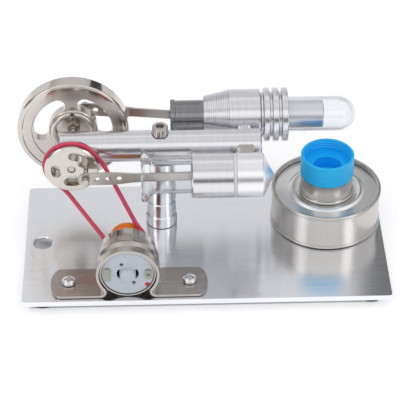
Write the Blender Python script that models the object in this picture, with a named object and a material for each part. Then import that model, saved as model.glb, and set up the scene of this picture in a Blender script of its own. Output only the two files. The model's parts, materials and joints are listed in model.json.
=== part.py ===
"""Tabletop Stirling engine with a generator motor and a spirit burner.

Units are metres, +Z is up.  The origin is the middle of the front left foot's underside.
The crankshaft runs along Y, and both cylinders and the beam run along X at one height.
"""
import math

import bmesh
import bpy
from mathutils import Matrix, Vector

MM = 0.001

# Clearances
GAP = 0.3 * MM
RUN = 0.2 * MM
PIN_PLAY = 0.2 * MM

# Base plate and feet
PLATE_LENGTH = 159.0 * MM
PLATE_WIDTH = 80.0 * MM
PLATE_THICK = 2.6 * MM
PLATE_CORNER = 1.5 * MM
PLATE_HOLE = 8.0 * MM
PLATE_HOLE_INSET_X = 7.6 * MM
PLATE_HOLE_INSET_Y = 40.2 * MM
PLATE_HOLE_CHAMFER = 0.5 * MM
FOOT_DIAMETER = 10.0 * MM
FOOT_HEIGHT = 3.0 * MM
FOOT_INSET = 8.5 * MM

# Where the three parallel axes lie, measured from the plate
CRANK_FROM_LEFT = 22.1 * MM
BEAM_FROM_FRONT = 55.0 * MM
AXIS_HEIGHT = 41.5 * MM
POWER_OFFSET = 22.3 * MM
HOT_OFFSET = 22.2 * MM

# Column and beam
BEAM_DIAMETER = 13.6 * MM
BEAM_OVERHANG = 5.8 * MM
BEAM_LENGTH = 88.4 * MM
BEAM_CHAMFER = 0.6 * MM
COLUMN_DIAMETER = 12.9 * MM
COLUMN_FLANGE_DIAMETER = 13.9 * MM
COLUMN_FLANGE_HEIGHT = 5.5 * MM
COLUMN_GROOVE_HEIGHT = 12.0 * MM
COLUMN_GROOVE = 0.5 * MM
COLUMN_FROM_CRANK = 38.4 * MM
SADDLE_DEPTH = 1.8 * MM
CLAMP_SHANK = 4.0 * MM
CLAMP_HEAD = 7.0 * MM
CLAMP_HEAD_HEIGHT = 4.2 * MM
CLAMP_SEAT_DEPTH = 0.9 * MM
CLAMP_BITE = 9.0 * MM
HEX_SOCKET = 3.4 * MM
HEX_SOCKET_DEPTH = 2.2 * MM
PILLAR_SCREW_BITE = 8.0 * MM
PILLAR_SCREW_HEAD_HEIGHT = 2.2 * MM

# Crankshaft, its bushes, the flywheel and the crank disc
SHAFT_DIAMETER = 3.2 * MM
BUSH_DIAMETER = 6.4 * MM
BUSH_LENGTH = 5.0 * MM
BUSH_STAND = 0.5 * MM
FLYWHEEL_DIAMETER = 49.4 * MM
FLYWHEEL_THICK = 8.1 * MM
FLYWHEEL_FRONT = 10.9 * MM
FLYWHEEL_CHAMFER = 1.2 * MM
FLYWHEEL_RIM = 6.6 * MM
FLYWHEEL_STEP = 1.1 * MM
FLYWHEEL_STEP_WIDTH = 4.2 * MM
FLYWHEEL_WEB = 4.0 * MM
HUB_DIAMETER = 16.0 * MM
HUB_STAND = 2.2 * MM
HUB_CHAMFER = 1.2 * MM
HUB_RING_WIDTH = 2.2 * MM
WHEEL_WINDOWS = 3
WHEEL_SPOKE = 5.4 * MM
WHEEL_TURN = 91.7
WINDOW_BORDER = 0.6 * MM
SET_SCREW_DIAMETER = 2.2 * MM
DISC_DIAMETER = 23.4 * MM
DISC_FRONT = 16.4 * MM
DISC_FLANGE = 1.2 * MM
DISC_WINDOW_RADIUS = 6.9 * MM
DISC_WINDOW_WIDTH = 4.0 * MM
DISC_CHAMFER = 0.4 * MM

# The crank disc's windows, each from one angle to another, anticlockwise from +X as seen from the front
DISC_WINDOWS = (("upper", 36.0, 84.0), ("left", 176.0, 198.0), ("lower", 256.0, 288.0))

# Drive belt, motor and pulley
BELT_DIAMETER = 1.9 * MM
BELT_GROOVE_WIDTH = 3.2 * MM
BELT_SHOW = 1.0 * MM
BELT_STRAIGHT_START = 0.20
BELT_STRAIGHT_END = 0.12
BELT_EASE = 0.07
BELT_SIDES = 8
BELT_RUN_STEPS = 12
DISC_WRAP_STEPS = 22
PULLEY_WRAP_STEPS = 10
MOTOR_FROM_CRANK = 23.5 * MM
MOTOR_DIAMETER = 24.4 * MM
MOTOR_LENGTH = 17.0 * MM
MOTOR_INSET = 2.5 * MM
MOTOR_WALL = 0.8 * MM
MOTOR_SHAFT_DIAMETER = 2.0 * MM
MOTOR_BOSS_DIAMETER = 6.0 * MM
MOTOR_BOSS_HEIGHT = 1.2 * MM
BELL_THICK = 1.4 * MM
BELL_RECESS = 0.4 * MM
BELL_SLOT_RADIUS = 4.1 * MM
BELL_SLOT_WIDTH = 0.9 * MM
BELL_SLOT_SWEEP = 44.0
BELL_HOLE_ANGLE = 117.0
BELL_HOLE_RADIUS = 5.6 * MM
BELL_HOLE_DIAMETER = 1.4 * MM
TERMINAL_LENGTH = 4.8 * MM
TERMINAL_WIDTH = 2.8 * MM
TERMINAL_THICK = 0.6 * MM
TERMINAL_RADIUS = 8.8 * MM
ARMATURE_DIAMETER = 15.0 * MM
ARMATURE_LENGTH = 9.0 * MM
MAGNET_THICK = 2.4 * MM
PULLEY_BELT_RADIUS = 7.6 * MM
PULLEY_PLANE = 28.7 * MM
PULLEY_GROOVE_WIDTH = 2.6 * MM
PULLEY_FLANGE = 0.8 * MM

# Motor strap and its screws
STRAP_THICK = 1.1 * MM
STRAP_WIDTH = 11.0 * MM
STRAP_FOOT_WIDTH = 18.2 * MM
STRAP_FRONT_INSET = 1.7 * MM
STRAP_FOOT_LEFT = 33.5 * MM
STRAP_FOOT_RIGHT = 34.3 * MM
STRAP_FILLET = 1.8 * MM
STRAP_END_ROUND = 4.4 * MM
STRAP_END_FULLNESS = 0.12
STRAP_END_STEPS = 4
STRAP_BEND_STEPS = 4
STRAP_ARCH_STEPS = 20
STRAP_RIB_HEIGHT = 0.9 * MM
STRAP_RIB_WIDTH = 3.4 * MM
STRAP_SCREW_INSET = 7.8 * MM
STRAP_SCREW_SHANK = 2.8 * MM
STRAP_SCREW_HEAD = 6.2 * MM
STRAP_SCREW_HEAD_HEIGHT = 1.9 * MM
STRAP_SCREW_EDGE = 0.86 * MM
STRAP_SCREW_SHOULDER = 1.52 * MM
STRAP_SCREW_SHOULDER_DIAMETER = 5.0 * MM
STRAP_SCREW_CROWN_DIAMETER = 2.8 * MM
STRAP_NUT_HEIGHT = 2.0 * MM
STRAP_NUT_FLATS = 5.4 * MM
CROSS_SLOT = 0.9 * MM
CROSS_LENGTH = 3.4 * MM
CROSS_FLOOR = 0.76 * MM

# Connecting rods
ROD_THICK = 1.0 * MM
ROD_BIG_END = 6.2 * MM
ROD_SMALL_END = 4.2 * MM
ROD_TAPER_START = 12.0 * MM
ROD_TAPER_END = 22.0 * MM
ROD_HOLE = 2.4 * MM
ROD_HOLE_COUNT = 3
ROD_HOLE_PITCH = 4.8 * MM
CRANK_PIN_DIAMETER = 2.2 * MM
CRANK_PIN_HEAD = 3.4 * MM
CRANK_PIN_TAIL = 2.6 * MM
WRIST_PIN_DIAMETER = 2.0 * MM
ROD_SLOT = 2.6 * MM

# Power cylinder
POWER_CRANK_RADIUS = 6.2 * MM
POWER_CRANK_ANGLE = -7.5
POWER_ROD_LENGTH = 48.0 * MM
BARREL_DIAMETER = 19.2 * MM
BARREL_START = 51.3 * MM
BARREL_LENGTH = 18.0 * MM
BARREL_CHAMFER = 0.7 * MM
GASKET_THICK = 0.9 * MM
GASKET_INSET = 0.2 * MM
HEAD_LENGTH = 11.7 * MM
HEAD_CONE = 4.3 * MM
HEAD_TIP_DIAMETER = 5.0 * MM
HEAD_BORE_DEPTH = 8.0 * MM
GLASS_DIAMETER = 15.0 * MM
GLASS_WALL = 0.9 * MM
GLASS_OUT = 21.4 * MM
GLASS_LIP_DIAMETER = 22.0 * MM
GLASS_LIP_LENGTH = 6.0 * MM
GLASS_LIP_MOUTH = 17.4 * MM
GLASS_LIP_RIM = 1.8 * MM
GLASS_LIP_THROAT = 2.1 * MM
GLASS_LIP_SHOULDER = 3.0 * MM
GLASS_LIP_NECK = 4.5 * MM
PISTON_SKIRT = 2.4 * MM
PISTON_LENGTH = 12.0 * MM

# Pieces between the beam and the two cylinders
TRANSFER_FROM_CRANK = 75.6 * MM
TRANSFER_DIAMETER = 5.0 * MM
TRANSFER_BORE = 2.6 * MM
LOCK_NUT_FLATS = 10.0 * MM
SPACER_DIAMETER = 7.0 * MM

# Hot cylinder
DISPLACER_CRANK_RADIUS = 7.0 * MM
DISPLACER_CRANK_ANGLE = 43.0
DISPLACER_ROD_LENGTH = 46.0 * MM
SLEEVE_START = 43.1 * MM
SLEEVE_DIAMETER = 14.0 * MM
SLEEVE_BORE = 11.0 * MM
SLEEVE_COLLAR = 0.5 * MM
SLEEVE_COLLAR_LENGTH = 2.3 * MM
BODY_START = 57.9 * MM
BODY_CONE_LENGTH = 11.6 * MM
BODY_CONE_DIAMETER = 18.0 * MM
BODY_DIAMETER = 23.3 * MM
BODY_LENGTH = 25.1 * MM
FIN_DIAMETER = 24.2 * MM
FIN_COUNT = 3
FIN_THICK = 2.8 * MM
FIN_SLOT = 1.25 * MM
FIN_SLOT_DEPTH = 1.9 * MM
HOT_GLASS_DIAMETER = 15.6 * MM
HOT_GLASS_WALL = 0.9 * MM
HOT_GLASS_SEAT = 9.0 * MM
HOT_GLASS_OUT = 30.5 * MM
DOME_STEPS = 5
DISPLACER_DIAMETER = 12.4 * MM
DISPLACER_LENGTH = 29.0 * MM
DISPLACER_OUT = 16.1 * MM
DISPLACER_SHAFT = 2.4 * MM
GLAND_FROM_BODY = 8.2 * MM
GLAND_LENGTH = 4.0 * MM
GLAND_DIAMETER = 6.4 * MM
GLAND_FLANGE = 9.4 * MM
CROSSHEAD_SKIRT = 2.5 * MM
CROSSHEAD_CLEARANCE = 0.5 * MM

# Spirit burner
BURNER_FROM_RIGHT = 24.7 * MM
BURNER_FROM_BACK = 24.3 * MM
TIN_DIAMETER = 48.2 * MM
TIN_HEIGHT = 17.3 * MM
TIN_WALL = 0.8 * MM
SEAM_DIAMETER = 49.3 * MM
SEAM_WIDTH = 3.3 * MM
SEAM_HEIGHT = 2.4 * MM
LID_DROP = 3.0 * MM
LID_THICK = 0.8 * MM
LID_BEAD = 0.7 * MM
LID_BEAD_RADIUS = 17.0 * MM
LID_BEAD_WIDTH = 2.4 * MM
NECK_DIAMETER = 23.0 * MM
NECK_WALL = 2.2 * MM
NECK_HEIGHT = 8.5 * MM
NECK_FLANGE = 0.9 * MM
NECK_FLANGE_HEIGHT = 1.1 * MM
NECK_SOCKET = 1.6 * MM
WICK_DIAMETER = 7.0 * MM
CAP_DIAMETER = 23.6 * MM
CAP_HEIGHT = 10.4 * MM
CAP_WALL = 1.3 * MM
CAP_FLOOR = 1.2 * MM
CAP_LEDGE_HEIGHT = 4.2 * MM
CAP_WELL_DIAMETER = 14.2 * MM
CAP_PLUG_DEPTH = 3.0 * MM
CAP_THREADS = 2
CAP_THREAD = 0.35 * MM
CAP_THREAD_PITCH = 1.2 * MM
CAP_THREAD_FIRST = 1.44 * MM

# Facets round a turned piece
FINE = 30
MEDIUM = 20
SMALL = 10

# A drilled hole's facets are turned a little, so that none of their edges meets an edge of the piece
DRILL_TURN = 7.0

# Places worked out from the sizes above
PLATE_LEFT = -FOOT_INSET
PLATE_FRONT = -FOOT_INSET
PLATE_RIGHT = PLATE_LEFT + PLATE_LENGTH
PLATE_BACK = PLATE_FRONT + PLATE_WIDTH
PLATE_BOTTOM = FOOT_HEIGHT + GAP
PLATE_TOP = PLATE_BOTTOM + PLATE_THICK
CRANK_X = PLATE_LEFT + CRANK_FROM_LEFT
BEAM_Y = PLATE_FRONT + BEAM_FROM_FRONT
AXIS_Z = PLATE_TOP + AXIS_HEIGHT
POWER_Y = BEAM_Y - POWER_OFFSET
HOT_Y = BEAM_Y + HOT_OFFSET
COLUMN_X = CRANK_X + COLUMN_FROM_CRANK
TRANSFER_X = CRANK_X + TRANSFER_FROM_CRANK
MOTOR_X = CRANK_X + MOTOR_FROM_CRANK
MOTOR_Z = PLATE_TOP + GAP + MOTOR_DIAMETER / 2
MOTOR_FRONT_Y = PLATE_FRONT + MOTOR_INSET
PULLEY_Y = BEAM_Y - PULLEY_PLANE
DISC_FRONT_Y = BEAM_Y - DISC_FRONT
DISC_BACK_Y = DISC_FRONT_Y + 2 * DISC_FLANGE + BELT_GROOVE_WIDTH
BELT_Y = DISC_FRONT_Y + DISC_FLANGE + BELT_GROOVE_WIDTH / 2
DISC_BELT_RADIUS = DISC_DIAMETER / 2 + BELT_SHOW - BELT_DIAMETER / 2
WHEEL_FRONT_Y = BEAM_Y + FLYWHEEL_FRONT
WHEEL_BACK_Y = WHEEL_FRONT_Y + FLYWHEEL_THICK
BARREL_X = CRANK_X + BARREL_START
HEAD_X = BARREL_X + BARREL_LENGTH + 2 * GAP + GASKET_THICK
GLASS_BORE = GLASS_DIAMETER - 2 * GLASS_WALL
BODY_X = CRANK_X + BODY_START
FIN_X = BODY_X + BODY_LENGTH + GAP
FIN_LENGTH = FIN_COUNT * FIN_THICK + FIN_COUNT * FIN_SLOT
HOT_BORE = HOT_GLASS_DIAMETER - 2 * HOT_GLASS_WALL
STRAP_INNER = MOTOR_DIAMETER / 2 + RUN
STRAP_OUTER = STRAP_INNER + STRAP_THICK
STRAP_FRONT_Y = PLATE_FRONT + STRAP_FRONT_INSET
STRAP_MIDDLE_Y = STRAP_FRONT_Y + STRAP_FOOT_WIDTH / 2
BURNER_X = PLATE_RIGHT - BURNER_FROM_RIGHT
BURNER_Y = PLATE_BACK - BURNER_FROM_BACK
BURNER_Z = PLATE_TOP + GAP
LID_Z = BURNER_Z + TIN_HEIGHT - LID_DROP
NECK_Z = LID_Z + LID_THICK + GAP
CAP_Z = NECK_Z + NECK_HEIGHT + GAP


def crank_point(radius, degrees):
    """Place of a crank pin seen along the shaft, as X and Z."""
    angle = math.radians(degrees)
    return CRANK_X + radius * math.cos(angle), AXIS_Z + radius * math.sin(angle)


POWER_PIN_X, POWER_PIN_Z = crank_point(POWER_CRANK_RADIUS, POWER_CRANK_ANGLE)
SLIDE_PIN_X, SLIDE_PIN_Z = crank_point(DISPLACER_CRANK_RADIUS, DISPLACER_CRANK_ANGLE)
POWER_WRIST_X = POWER_PIN_X + math.sqrt(POWER_ROD_LENGTH ** 2 - (POWER_PIN_Z - AXIS_Z) ** 2)
SLIDE_WRIST_X = SLIDE_PIN_X + math.sqrt(DISPLACER_ROD_LENGTH ** 2 - (SLIDE_PIN_Z - AXIS_Z) ** 2)
GLAND_X = BODY_X + GLAND_FROM_BODY - GLAND_LENGTH / 3
SLIDE_REACH_X = CRANK_X + DISPLACER_CRANK_RADIUS + DISPLACER_ROD_LENGTH
CROSSHEAD_LENGTH = CROSSHEAD_SKIRT + GLAND_X - CROSSHEAD_CLEARANCE - SLIDE_REACH_X
DISPLACER_END_X = FIN_X + FIN_LENGTH + DISPLACER_OUT
DISPLACER_START_X = DISPLACER_END_X - DISPLACER_LENGTH

AXES = {
    "X": Matrix(((0, 0, 1), (1, 0, 0), (0, 1, 0))),
    "Y": Matrix(((0, 1, 0), (0, 0, 1), (1, 0, 0))),
    "Z": Matrix.Identity(3),
}


def clear_scene():
    for old in list(bpy.data.objects):
        bpy.data.objects.remove(old, do_unlink=True)


def make_material(name, colour, roughness, metallic, transmission=0.0):
    found = bpy.data.materials.get(name)
    if found is not None:
        return found
    made = bpy.data.materials.new(name)
    made.use_nodes = True
    shader = made.node_tree.nodes["Principled BSDF"]
    shader.inputs["Base Color"].default_value = (*colour, 1.0)
    shader.inputs["Roughness"].default_value = roughness
    shader.inputs["Metallic"].default_value = metallic
    shader.inputs["Transmission Weight"].default_value = transmission
    return made


def aluminium():
    return make_material("aluminium", (0.78, 0.78, 0.80), 0.25, 1.0)


def plate_steel():
    return make_material("brushed_plate", (0.74, 0.74, 0.77), 0.22, 1.0)


def nickel():
    return make_material("nickel", (0.70, 0.67, 0.62), 0.15, 1.0)


def chrome():
    return make_material("chrome", (0.62, 0.60, 0.57), 0.10, 1.0)


def dark_steel():
    return make_material("dark_steel", (0.18, 0.18, 0.19), 0.25, 1.0)


def glass():
    return make_material("glass", (0.95, 0.97, 1.0), 0.02, 0.0, 1.0)


def brass():
    return make_material("brass", (0.75, 0.58, 0.28), 0.3, 1.0)


def rubber():
    return make_material("black_rubber", (0.02, 0.02, 0.02), 0.7, 0.0)


def belt_rubber():
    return make_material("red_rubber", (0.72, 0.06, 0.12), 0.5, 0.0)


def motor_plastic():
    return make_material("grey_plastic", (0.66, 0.69, 0.72), 0.5, 0.0)


def pulley_plastic():
    return make_material("orange_plastic", (0.85, 0.32, 0.05), 0.4, 0.0)


def tin_plate():
    return make_material("tin_plate", (0.55, 0.54, 0.53), 0.3, 1.0)


def cap_plastic():
    return make_material("blue_plastic", (0.04, 0.40, 0.85), 0.4, 0.0)


def cotton():
    return make_material("cotton", (0.85, 0.82, 0.75), 0.9, 0.0)


def displacer_shell():
    return make_material("displacer_grey", (0.66, 0.67, 0.69), 0.45, 0.6)


def finish_object(name, mesh_builder, origin, material, sharp_degrees=32.0):
    """Turn a built mesh into a named object whose origin is at the given place."""
    bmesh.ops.recalc_face_normals(mesh_builder, faces=mesh_builder.faces)
    mesh = bpy.data.meshes.new(name)
    mesh_builder.to_mesh(mesh)
    mesh_builder.free()
    mesh.shade_smooth()
    mesh.set_sharp_from_angle(angle=math.radians(sharp_degrees))
    mesh.materials.append(material)
    made = bpy.data.objects.new(name, mesh)
    made.location = origin
    bpy.context.scene.collection.objects.link(made)
    return made


def turned_mesh(axis, profile, segments, turn_degrees=0.0):
    """Revolve a closed outline of (distance along the axis, radius) points about that axis."""
    builder = bmesh.new()
    turn = AXES[axis]
    rings = []
    for along, radius in profile:
        if radius <= 0.0:
            rings.append([builder.verts.new(turn @ Vector((0.0, 0.0, along)))])
            continue
        ring = []
        for step in range(segments):
            angle = 2 * math.pi * step / segments + math.radians(turn_degrees)
            point = Vector((radius * math.cos(angle), radius * math.sin(angle), along))
            ring.append(builder.verts.new(turn @ point))
        rings.append(ring)
    for first, second in zip(rings, rings[1:] + rings[:1]):
        if len(first) == 1 and len(second) == 1:
            continue
        for step in range(segments):
            after = (step + 1) % segments
            corners = [first[step % len(first)], first[after % len(first)],
                       second[after % len(second)], second[step % len(second)]]
            face = list(dict.fromkeys(corners))
            builder.faces.new(face)
    return builder


def turned(name, axis, origin, profile, material, segments=MEDIUM):
    return finish_object(name, turned_mesh(axis, profile, segments), origin, material)


def rod_profile(start, end, radius, chamfer=0.0):
    """Outline of a plain round bar, with chamfered ends where asked."""
    if chamfer <= 0.0:
        return [(start, 0.0), (start, radius), (end, radius), (end, 0.0)]
    inner = radius - chamfer
    return [(start, 0.0), (start, inner), (start + chamfer, radius),
            (end - chamfer, radius), (end, inner), (end, 0.0)]


def tube_profile(start, end, inner, outer):
    return [(start, inner), (start, outer), (end, outer), (end, inner)]


def prism_mesh(axis, outline, start, end):
    """Extrude a flat outline along an axis.  The outline lies in the other two axes, in cyclic order."""
    builder = bmesh.new()
    turn = AXES[axis]
    lower = [builder.verts.new(turn @ Vector((u, v, start))) for u, v in outline]
    upper = [builder.verts.new(turn @ Vector((u, v, end))) for u, v in outline]
    builder.faces.new(lower)
    builder.faces.new(upper)
    count = len(outline)
    for index in range(count):
        after = (index + 1) % count
        builder.faces.new([lower[index], lower[after], upper[after], upper[index]])
    return builder


def prism(name, axis, origin, outline, start, end, material):
    return finish_object(name, prism_mesh(axis, outline, start, end), origin, material)


def circle_outline(radius, segments, centre=(0.0, 0.0)):
    points = []
    for step in range(segments):
        angle = 2 * math.pi * step / segments
        points.append((centre[0] + radius * math.cos(angle), centre[1] + radius * math.sin(angle)))
    return points


def hexagon_outline(flats):
    return circle_outline(flats / math.sqrt(3.0), 6)


def arc_points(centre, radius, start, end, steps):
    points = []
    for step in range(steps + 1):
        angle = math.radians(start + (end - start) * step / steps)
        points.append((centre[0] + radius * math.cos(angle), centre[1] + radius * math.sin(angle)))
    return points


def kidney_outline(radius, width, start, end, steps=10, tip_steps=6):
    """A round-ended slot bent along an arc about the origin."""
    half = width / 2
    outline = arc_points((0.0, 0.0), radius + half, start, end, steps)
    far = math.radians(end)
    far_centre = (radius * math.cos(far), radius * math.sin(far))
    outline += arc_points(far_centre, half, end, end + 180.0, tip_steps)[1:-1]
    outline += arc_points((0.0, 0.0), radius - half, end, start, steps)
    near = math.radians(start)
    near_centre = (radius * math.cos(near), radius * math.sin(near))
    outline += arc_points(near_centre, half, start + 180.0, start + 360.0, tip_steps)[1:-1]
    return outline


def rounded_box_outline(length, width, corner, steps=4):
    outline = []
    for side, (sign_x, sign_y) in enumerate(((1, 1), (-1, 1), (-1, -1), (1, -1))):
        centre = (sign_x * (length / 2 - corner), sign_y * (width / 2 - corner))
        outline += arc_points(centre, corner, 90.0 * side, 90.0 * side + 90.0, steps)
    return outline


def cut(target, builder, origin, label):
    """Cut a hidden shape out of a piece with a live Boolean."""
    cutter = finish_object(target.name + "_cut_" + label, builder, origin, target.data.materials[0])
    cutter.hide_render = True
    cutter.display_type = "WIRE"
    boolean = target.modifiers.new(label, "BOOLEAN")
    boolean.operation = "DIFFERENCE"
    boolean.solver = "EXACT"
    boolean.object = cutter
    return cutter


def drill(target, axis, place, radius, label, reach=None):
    """Cut a round hole through a piece, centred on a place and reaching the same way both sides."""
    depth = reach if reach is not None else 4 * PLATE_THICK
    shape = turned_mesh(axis, rod_profile(-depth, depth, radius), SMALL, DRILL_TURN)
    return cut(target, shape, place, label)


def build_base():
    middle = ((PLATE_LEFT + PLATE_RIGHT) / 2, (PLATE_FRONT + PLATE_BACK) / 2, PLATE_BOTTOM)
    plate = prism("base_plate", "Z", middle,
                  rounded_box_outline(PLATE_LENGTH, PLATE_WIDTH, PLATE_CORNER), 0.0, PLATE_THICK,
                  plate_steel())
    hole_place = (PLATE_LEFT + PLATE_HOLE_INSET_X, PLATE_FRONT + PLATE_HOLE_INSET_Y, PLATE_BOTTOM)
    radius = PLATE_HOLE / 2
    wide = radius + PLATE_HOLE_CHAMFER + GAP
    profile = [(-GAP, 0.0), (-GAP, radius), (PLATE_THICK - PLATE_HOLE_CHAMFER, radius),
               (PLATE_THICK + GAP, wide), (PLATE_THICK + GAP, 0.0)]
    cut(plate, turned_mesh("Z", profile, MEDIUM), hole_place, "hole")
    drill(plate, "Z", (COLUMN_X, BEAM_Y, PLATE_TOP), CLAMP_SHANK / 2 + PIN_PLAY, "pillar")
    for label, x in strap_screw_places():
        drill(plate, "Z", (x, STRAP_MIDDLE_Y, PLATE_TOP), STRAP_SCREW_SHANK / 2 + PIN_PLAY, label)
    for label, x, y in (("front_left", PLATE_LEFT + FOOT_INSET, PLATE_FRONT + FOOT_INSET),
                        ("front_right", PLATE_RIGHT - FOOT_INSET, PLATE_FRONT + FOOT_INSET),
                        ("back_left", PLATE_LEFT + FOOT_INSET, PLATE_BACK - FOOT_INSET),
                        ("back_right", PLATE_RIGHT - FOOT_INSET, PLATE_BACK - FOOT_INSET)):
        place = (x, y, PLATE_BOTTOM - GAP - FOOT_HEIGHT)
        profile = [(0.0, 0.0), (0.0, FOOT_DIAMETER / 2 - GAP), (GAP, FOOT_DIAMETER / 2),
                   (FOOT_HEIGHT, FOOT_DIAMETER / 2), (FOOT_HEIGHT, 0.0)]
        turned("foot_" + label, "Z", place, profile, rubber(), SMALL)


def strap_screw_places():
    return (("strap_left", MOTOR_X - STRAP_FOOT_LEFT + STRAP_SCREW_INSET),
            ("strap_right", MOTOR_X + STRAP_FOOT_RIGHT - STRAP_SCREW_INSET))


def build_column_and_beam():
    column_top = AXIS_Z - BEAM_DIAMETER / 2 - GAP + SADDLE_DEPTH - PLATE_TOP
    flange = COLUMN_FLANGE_DIAMETER / 2
    radius = COLUMN_DIAMETER / 2
    groove = COLUMN_GROOVE_HEIGHT
    profile = [(GAP, 0.0), (GAP, flange), (COLUMN_FLANGE_HEIGHT - COLUMN_GROOVE, flange),
               (COLUMN_FLANGE_HEIGHT, radius),
               (groove, radius), (groove + COLUMN_GROOVE, radius - COLUMN_GROOVE),
               (groove + 2 * COLUMN_GROOVE, radius), (column_top, radius), (column_top, 0.0)]
    column = turned("column", "Z", (COLUMN_X, BEAM_Y, PLATE_TOP), profile, aluminium())
    saddle_shape = rod_profile(-COLUMN_DIAMETER, COLUMN_DIAMETER, BEAM_DIAMETER / 2 + GAP)
    saddle = turned_mesh("X", saddle_shape, MEDIUM)
    cut(column, saddle, (COLUMN_X, BEAM_Y, AXIS_Z), "saddle")
    beam_foot = AXIS_Z - BEAM_DIAMETER / 2
    drill(column, "Z", (COLUMN_X, BEAM_Y, beam_foot), CLAMP_SHANK / 2 + PIN_PLAY, "clamp",
          CLAMP_BITE + GAP)
    drill(column, "Z", (COLUMN_X, BEAM_Y, PLATE_TOP), CLAMP_SHANK / 2 + PIN_PLAY, "pillar",
          PILLAR_SCREW_BITE + GAP)

    beam_place = (CRANK_X, BEAM_Y, AXIS_Z)
    beam = turned("beam", "X", beam_place,
                  rod_profile(-BEAM_OVERHANG, BEAM_LENGTH - BEAM_OVERHANG, BEAM_DIAMETER / 2, BEAM_CHAMFER),
                  aluminium(), MEDIUM)
    drill(beam, "Y", beam_place, BUSH_DIAMETER / 2 + PIN_PLAY, "bushes", BEAM_DIAMETER)
    drill(beam, "Y", (TRANSFER_X, BEAM_Y, AXIS_Z), TRANSFER_DIAMETER / 2 + PIN_PLAY, "transfer",
          BEAM_DIAMETER)
    drill(beam, "Z", (COLUMN_X, BEAM_Y, AXIS_Z), CLAMP_SHANK / 2 + PIN_PLAY, "clamp", BEAM_DIAMETER)
    seat_z = AXIS_Z + BEAM_DIAMETER / 2 - CLAMP_SEAT_DEPTH
    seat = rod_profile(0.0, BEAM_DIAMETER, CLAMP_HEAD / 2 + GAP)
    cut(beam, turned_mesh("Z", seat, SMALL, 2 * DRILL_TURN), (COLUMN_X, BEAM_Y, seat_z), "seat")

    head_z = seat_z + GAP
    shank_end = beam_foot - CLAMP_BITE
    screw_profile = [(shank_end - head_z, 0.0), (shank_end - head_z, CLAMP_SHANK / 2),
                     (0.0, CLAMP_SHANK / 2), (0.0, CLAMP_HEAD / 2),
                     (CLAMP_HEAD_HEIGHT - GAP, CLAMP_HEAD / 2),
                     (CLAMP_HEAD_HEIGHT, CLAMP_HEAD / 2 - GAP), (CLAMP_HEAD_HEIGHT, 0.0)]
    screw = turned("beam_clamp_screw", "Z", (COLUMN_X, BEAM_Y, head_z), screw_profile, dark_steel(),
                   SMALL)
    socket = prism_mesh("Z", hexagon_outline(HEX_SOCKET), -HEX_SOCKET_DEPTH, GAP)
    cut(screw, socket, (COLUMN_X, BEAM_Y, head_z + CLAMP_HEAD_HEIGHT), "socket")

    under = PLATE_BOTTOM - GAP
    pillar_profile = [(-PILLAR_SCREW_HEAD_HEIGHT, 0.0), (-PILLAR_SCREW_HEAD_HEIGHT, CLAMP_HEAD / 2),
                      (0.0, CLAMP_HEAD / 2), (0.0, CLAMP_SHANK / 2),
                      (PLATE_THICK + GAP + PILLAR_SCREW_BITE, CLAMP_SHANK / 2),
                      (PLATE_THICK + GAP + PILLAR_SCREW_BITE, 0.0)]
    turned("column_base_screw", "Z", (COLUMN_X, BEAM_Y, under), pillar_profile, dark_steel(), SMALL)


def build_crankshaft():
    place = (CRANK_X, BEAM_Y, AXIS_Z)
    bush_end = BEAM_DIAMETER / 2 + BUSH_STAND
    for name, start, end in (("crank_bush_front", -bush_end, -bush_end + BUSH_LENGTH),
                             ("crank_bush_rear", bush_end - BUSH_LENGTH, bush_end)):
        turned(name, "Y", place, tube_profile(start, end, SHAFT_DIAMETER / 2 + RUN, BUSH_DIAMETER / 2),
               brass(), SMALL)
    shaft = rod_profile(DISC_FRONT_Y - BEAM_Y, WHEEL_BACK_Y - BEAM_Y - GAP, SHAFT_DIAMETER / 2)
    turned("crankshaft", "Y", place, shaft, dark_steel(), SMALL)
    build_flywheel(place)
    build_crank_disc(place)


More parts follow.
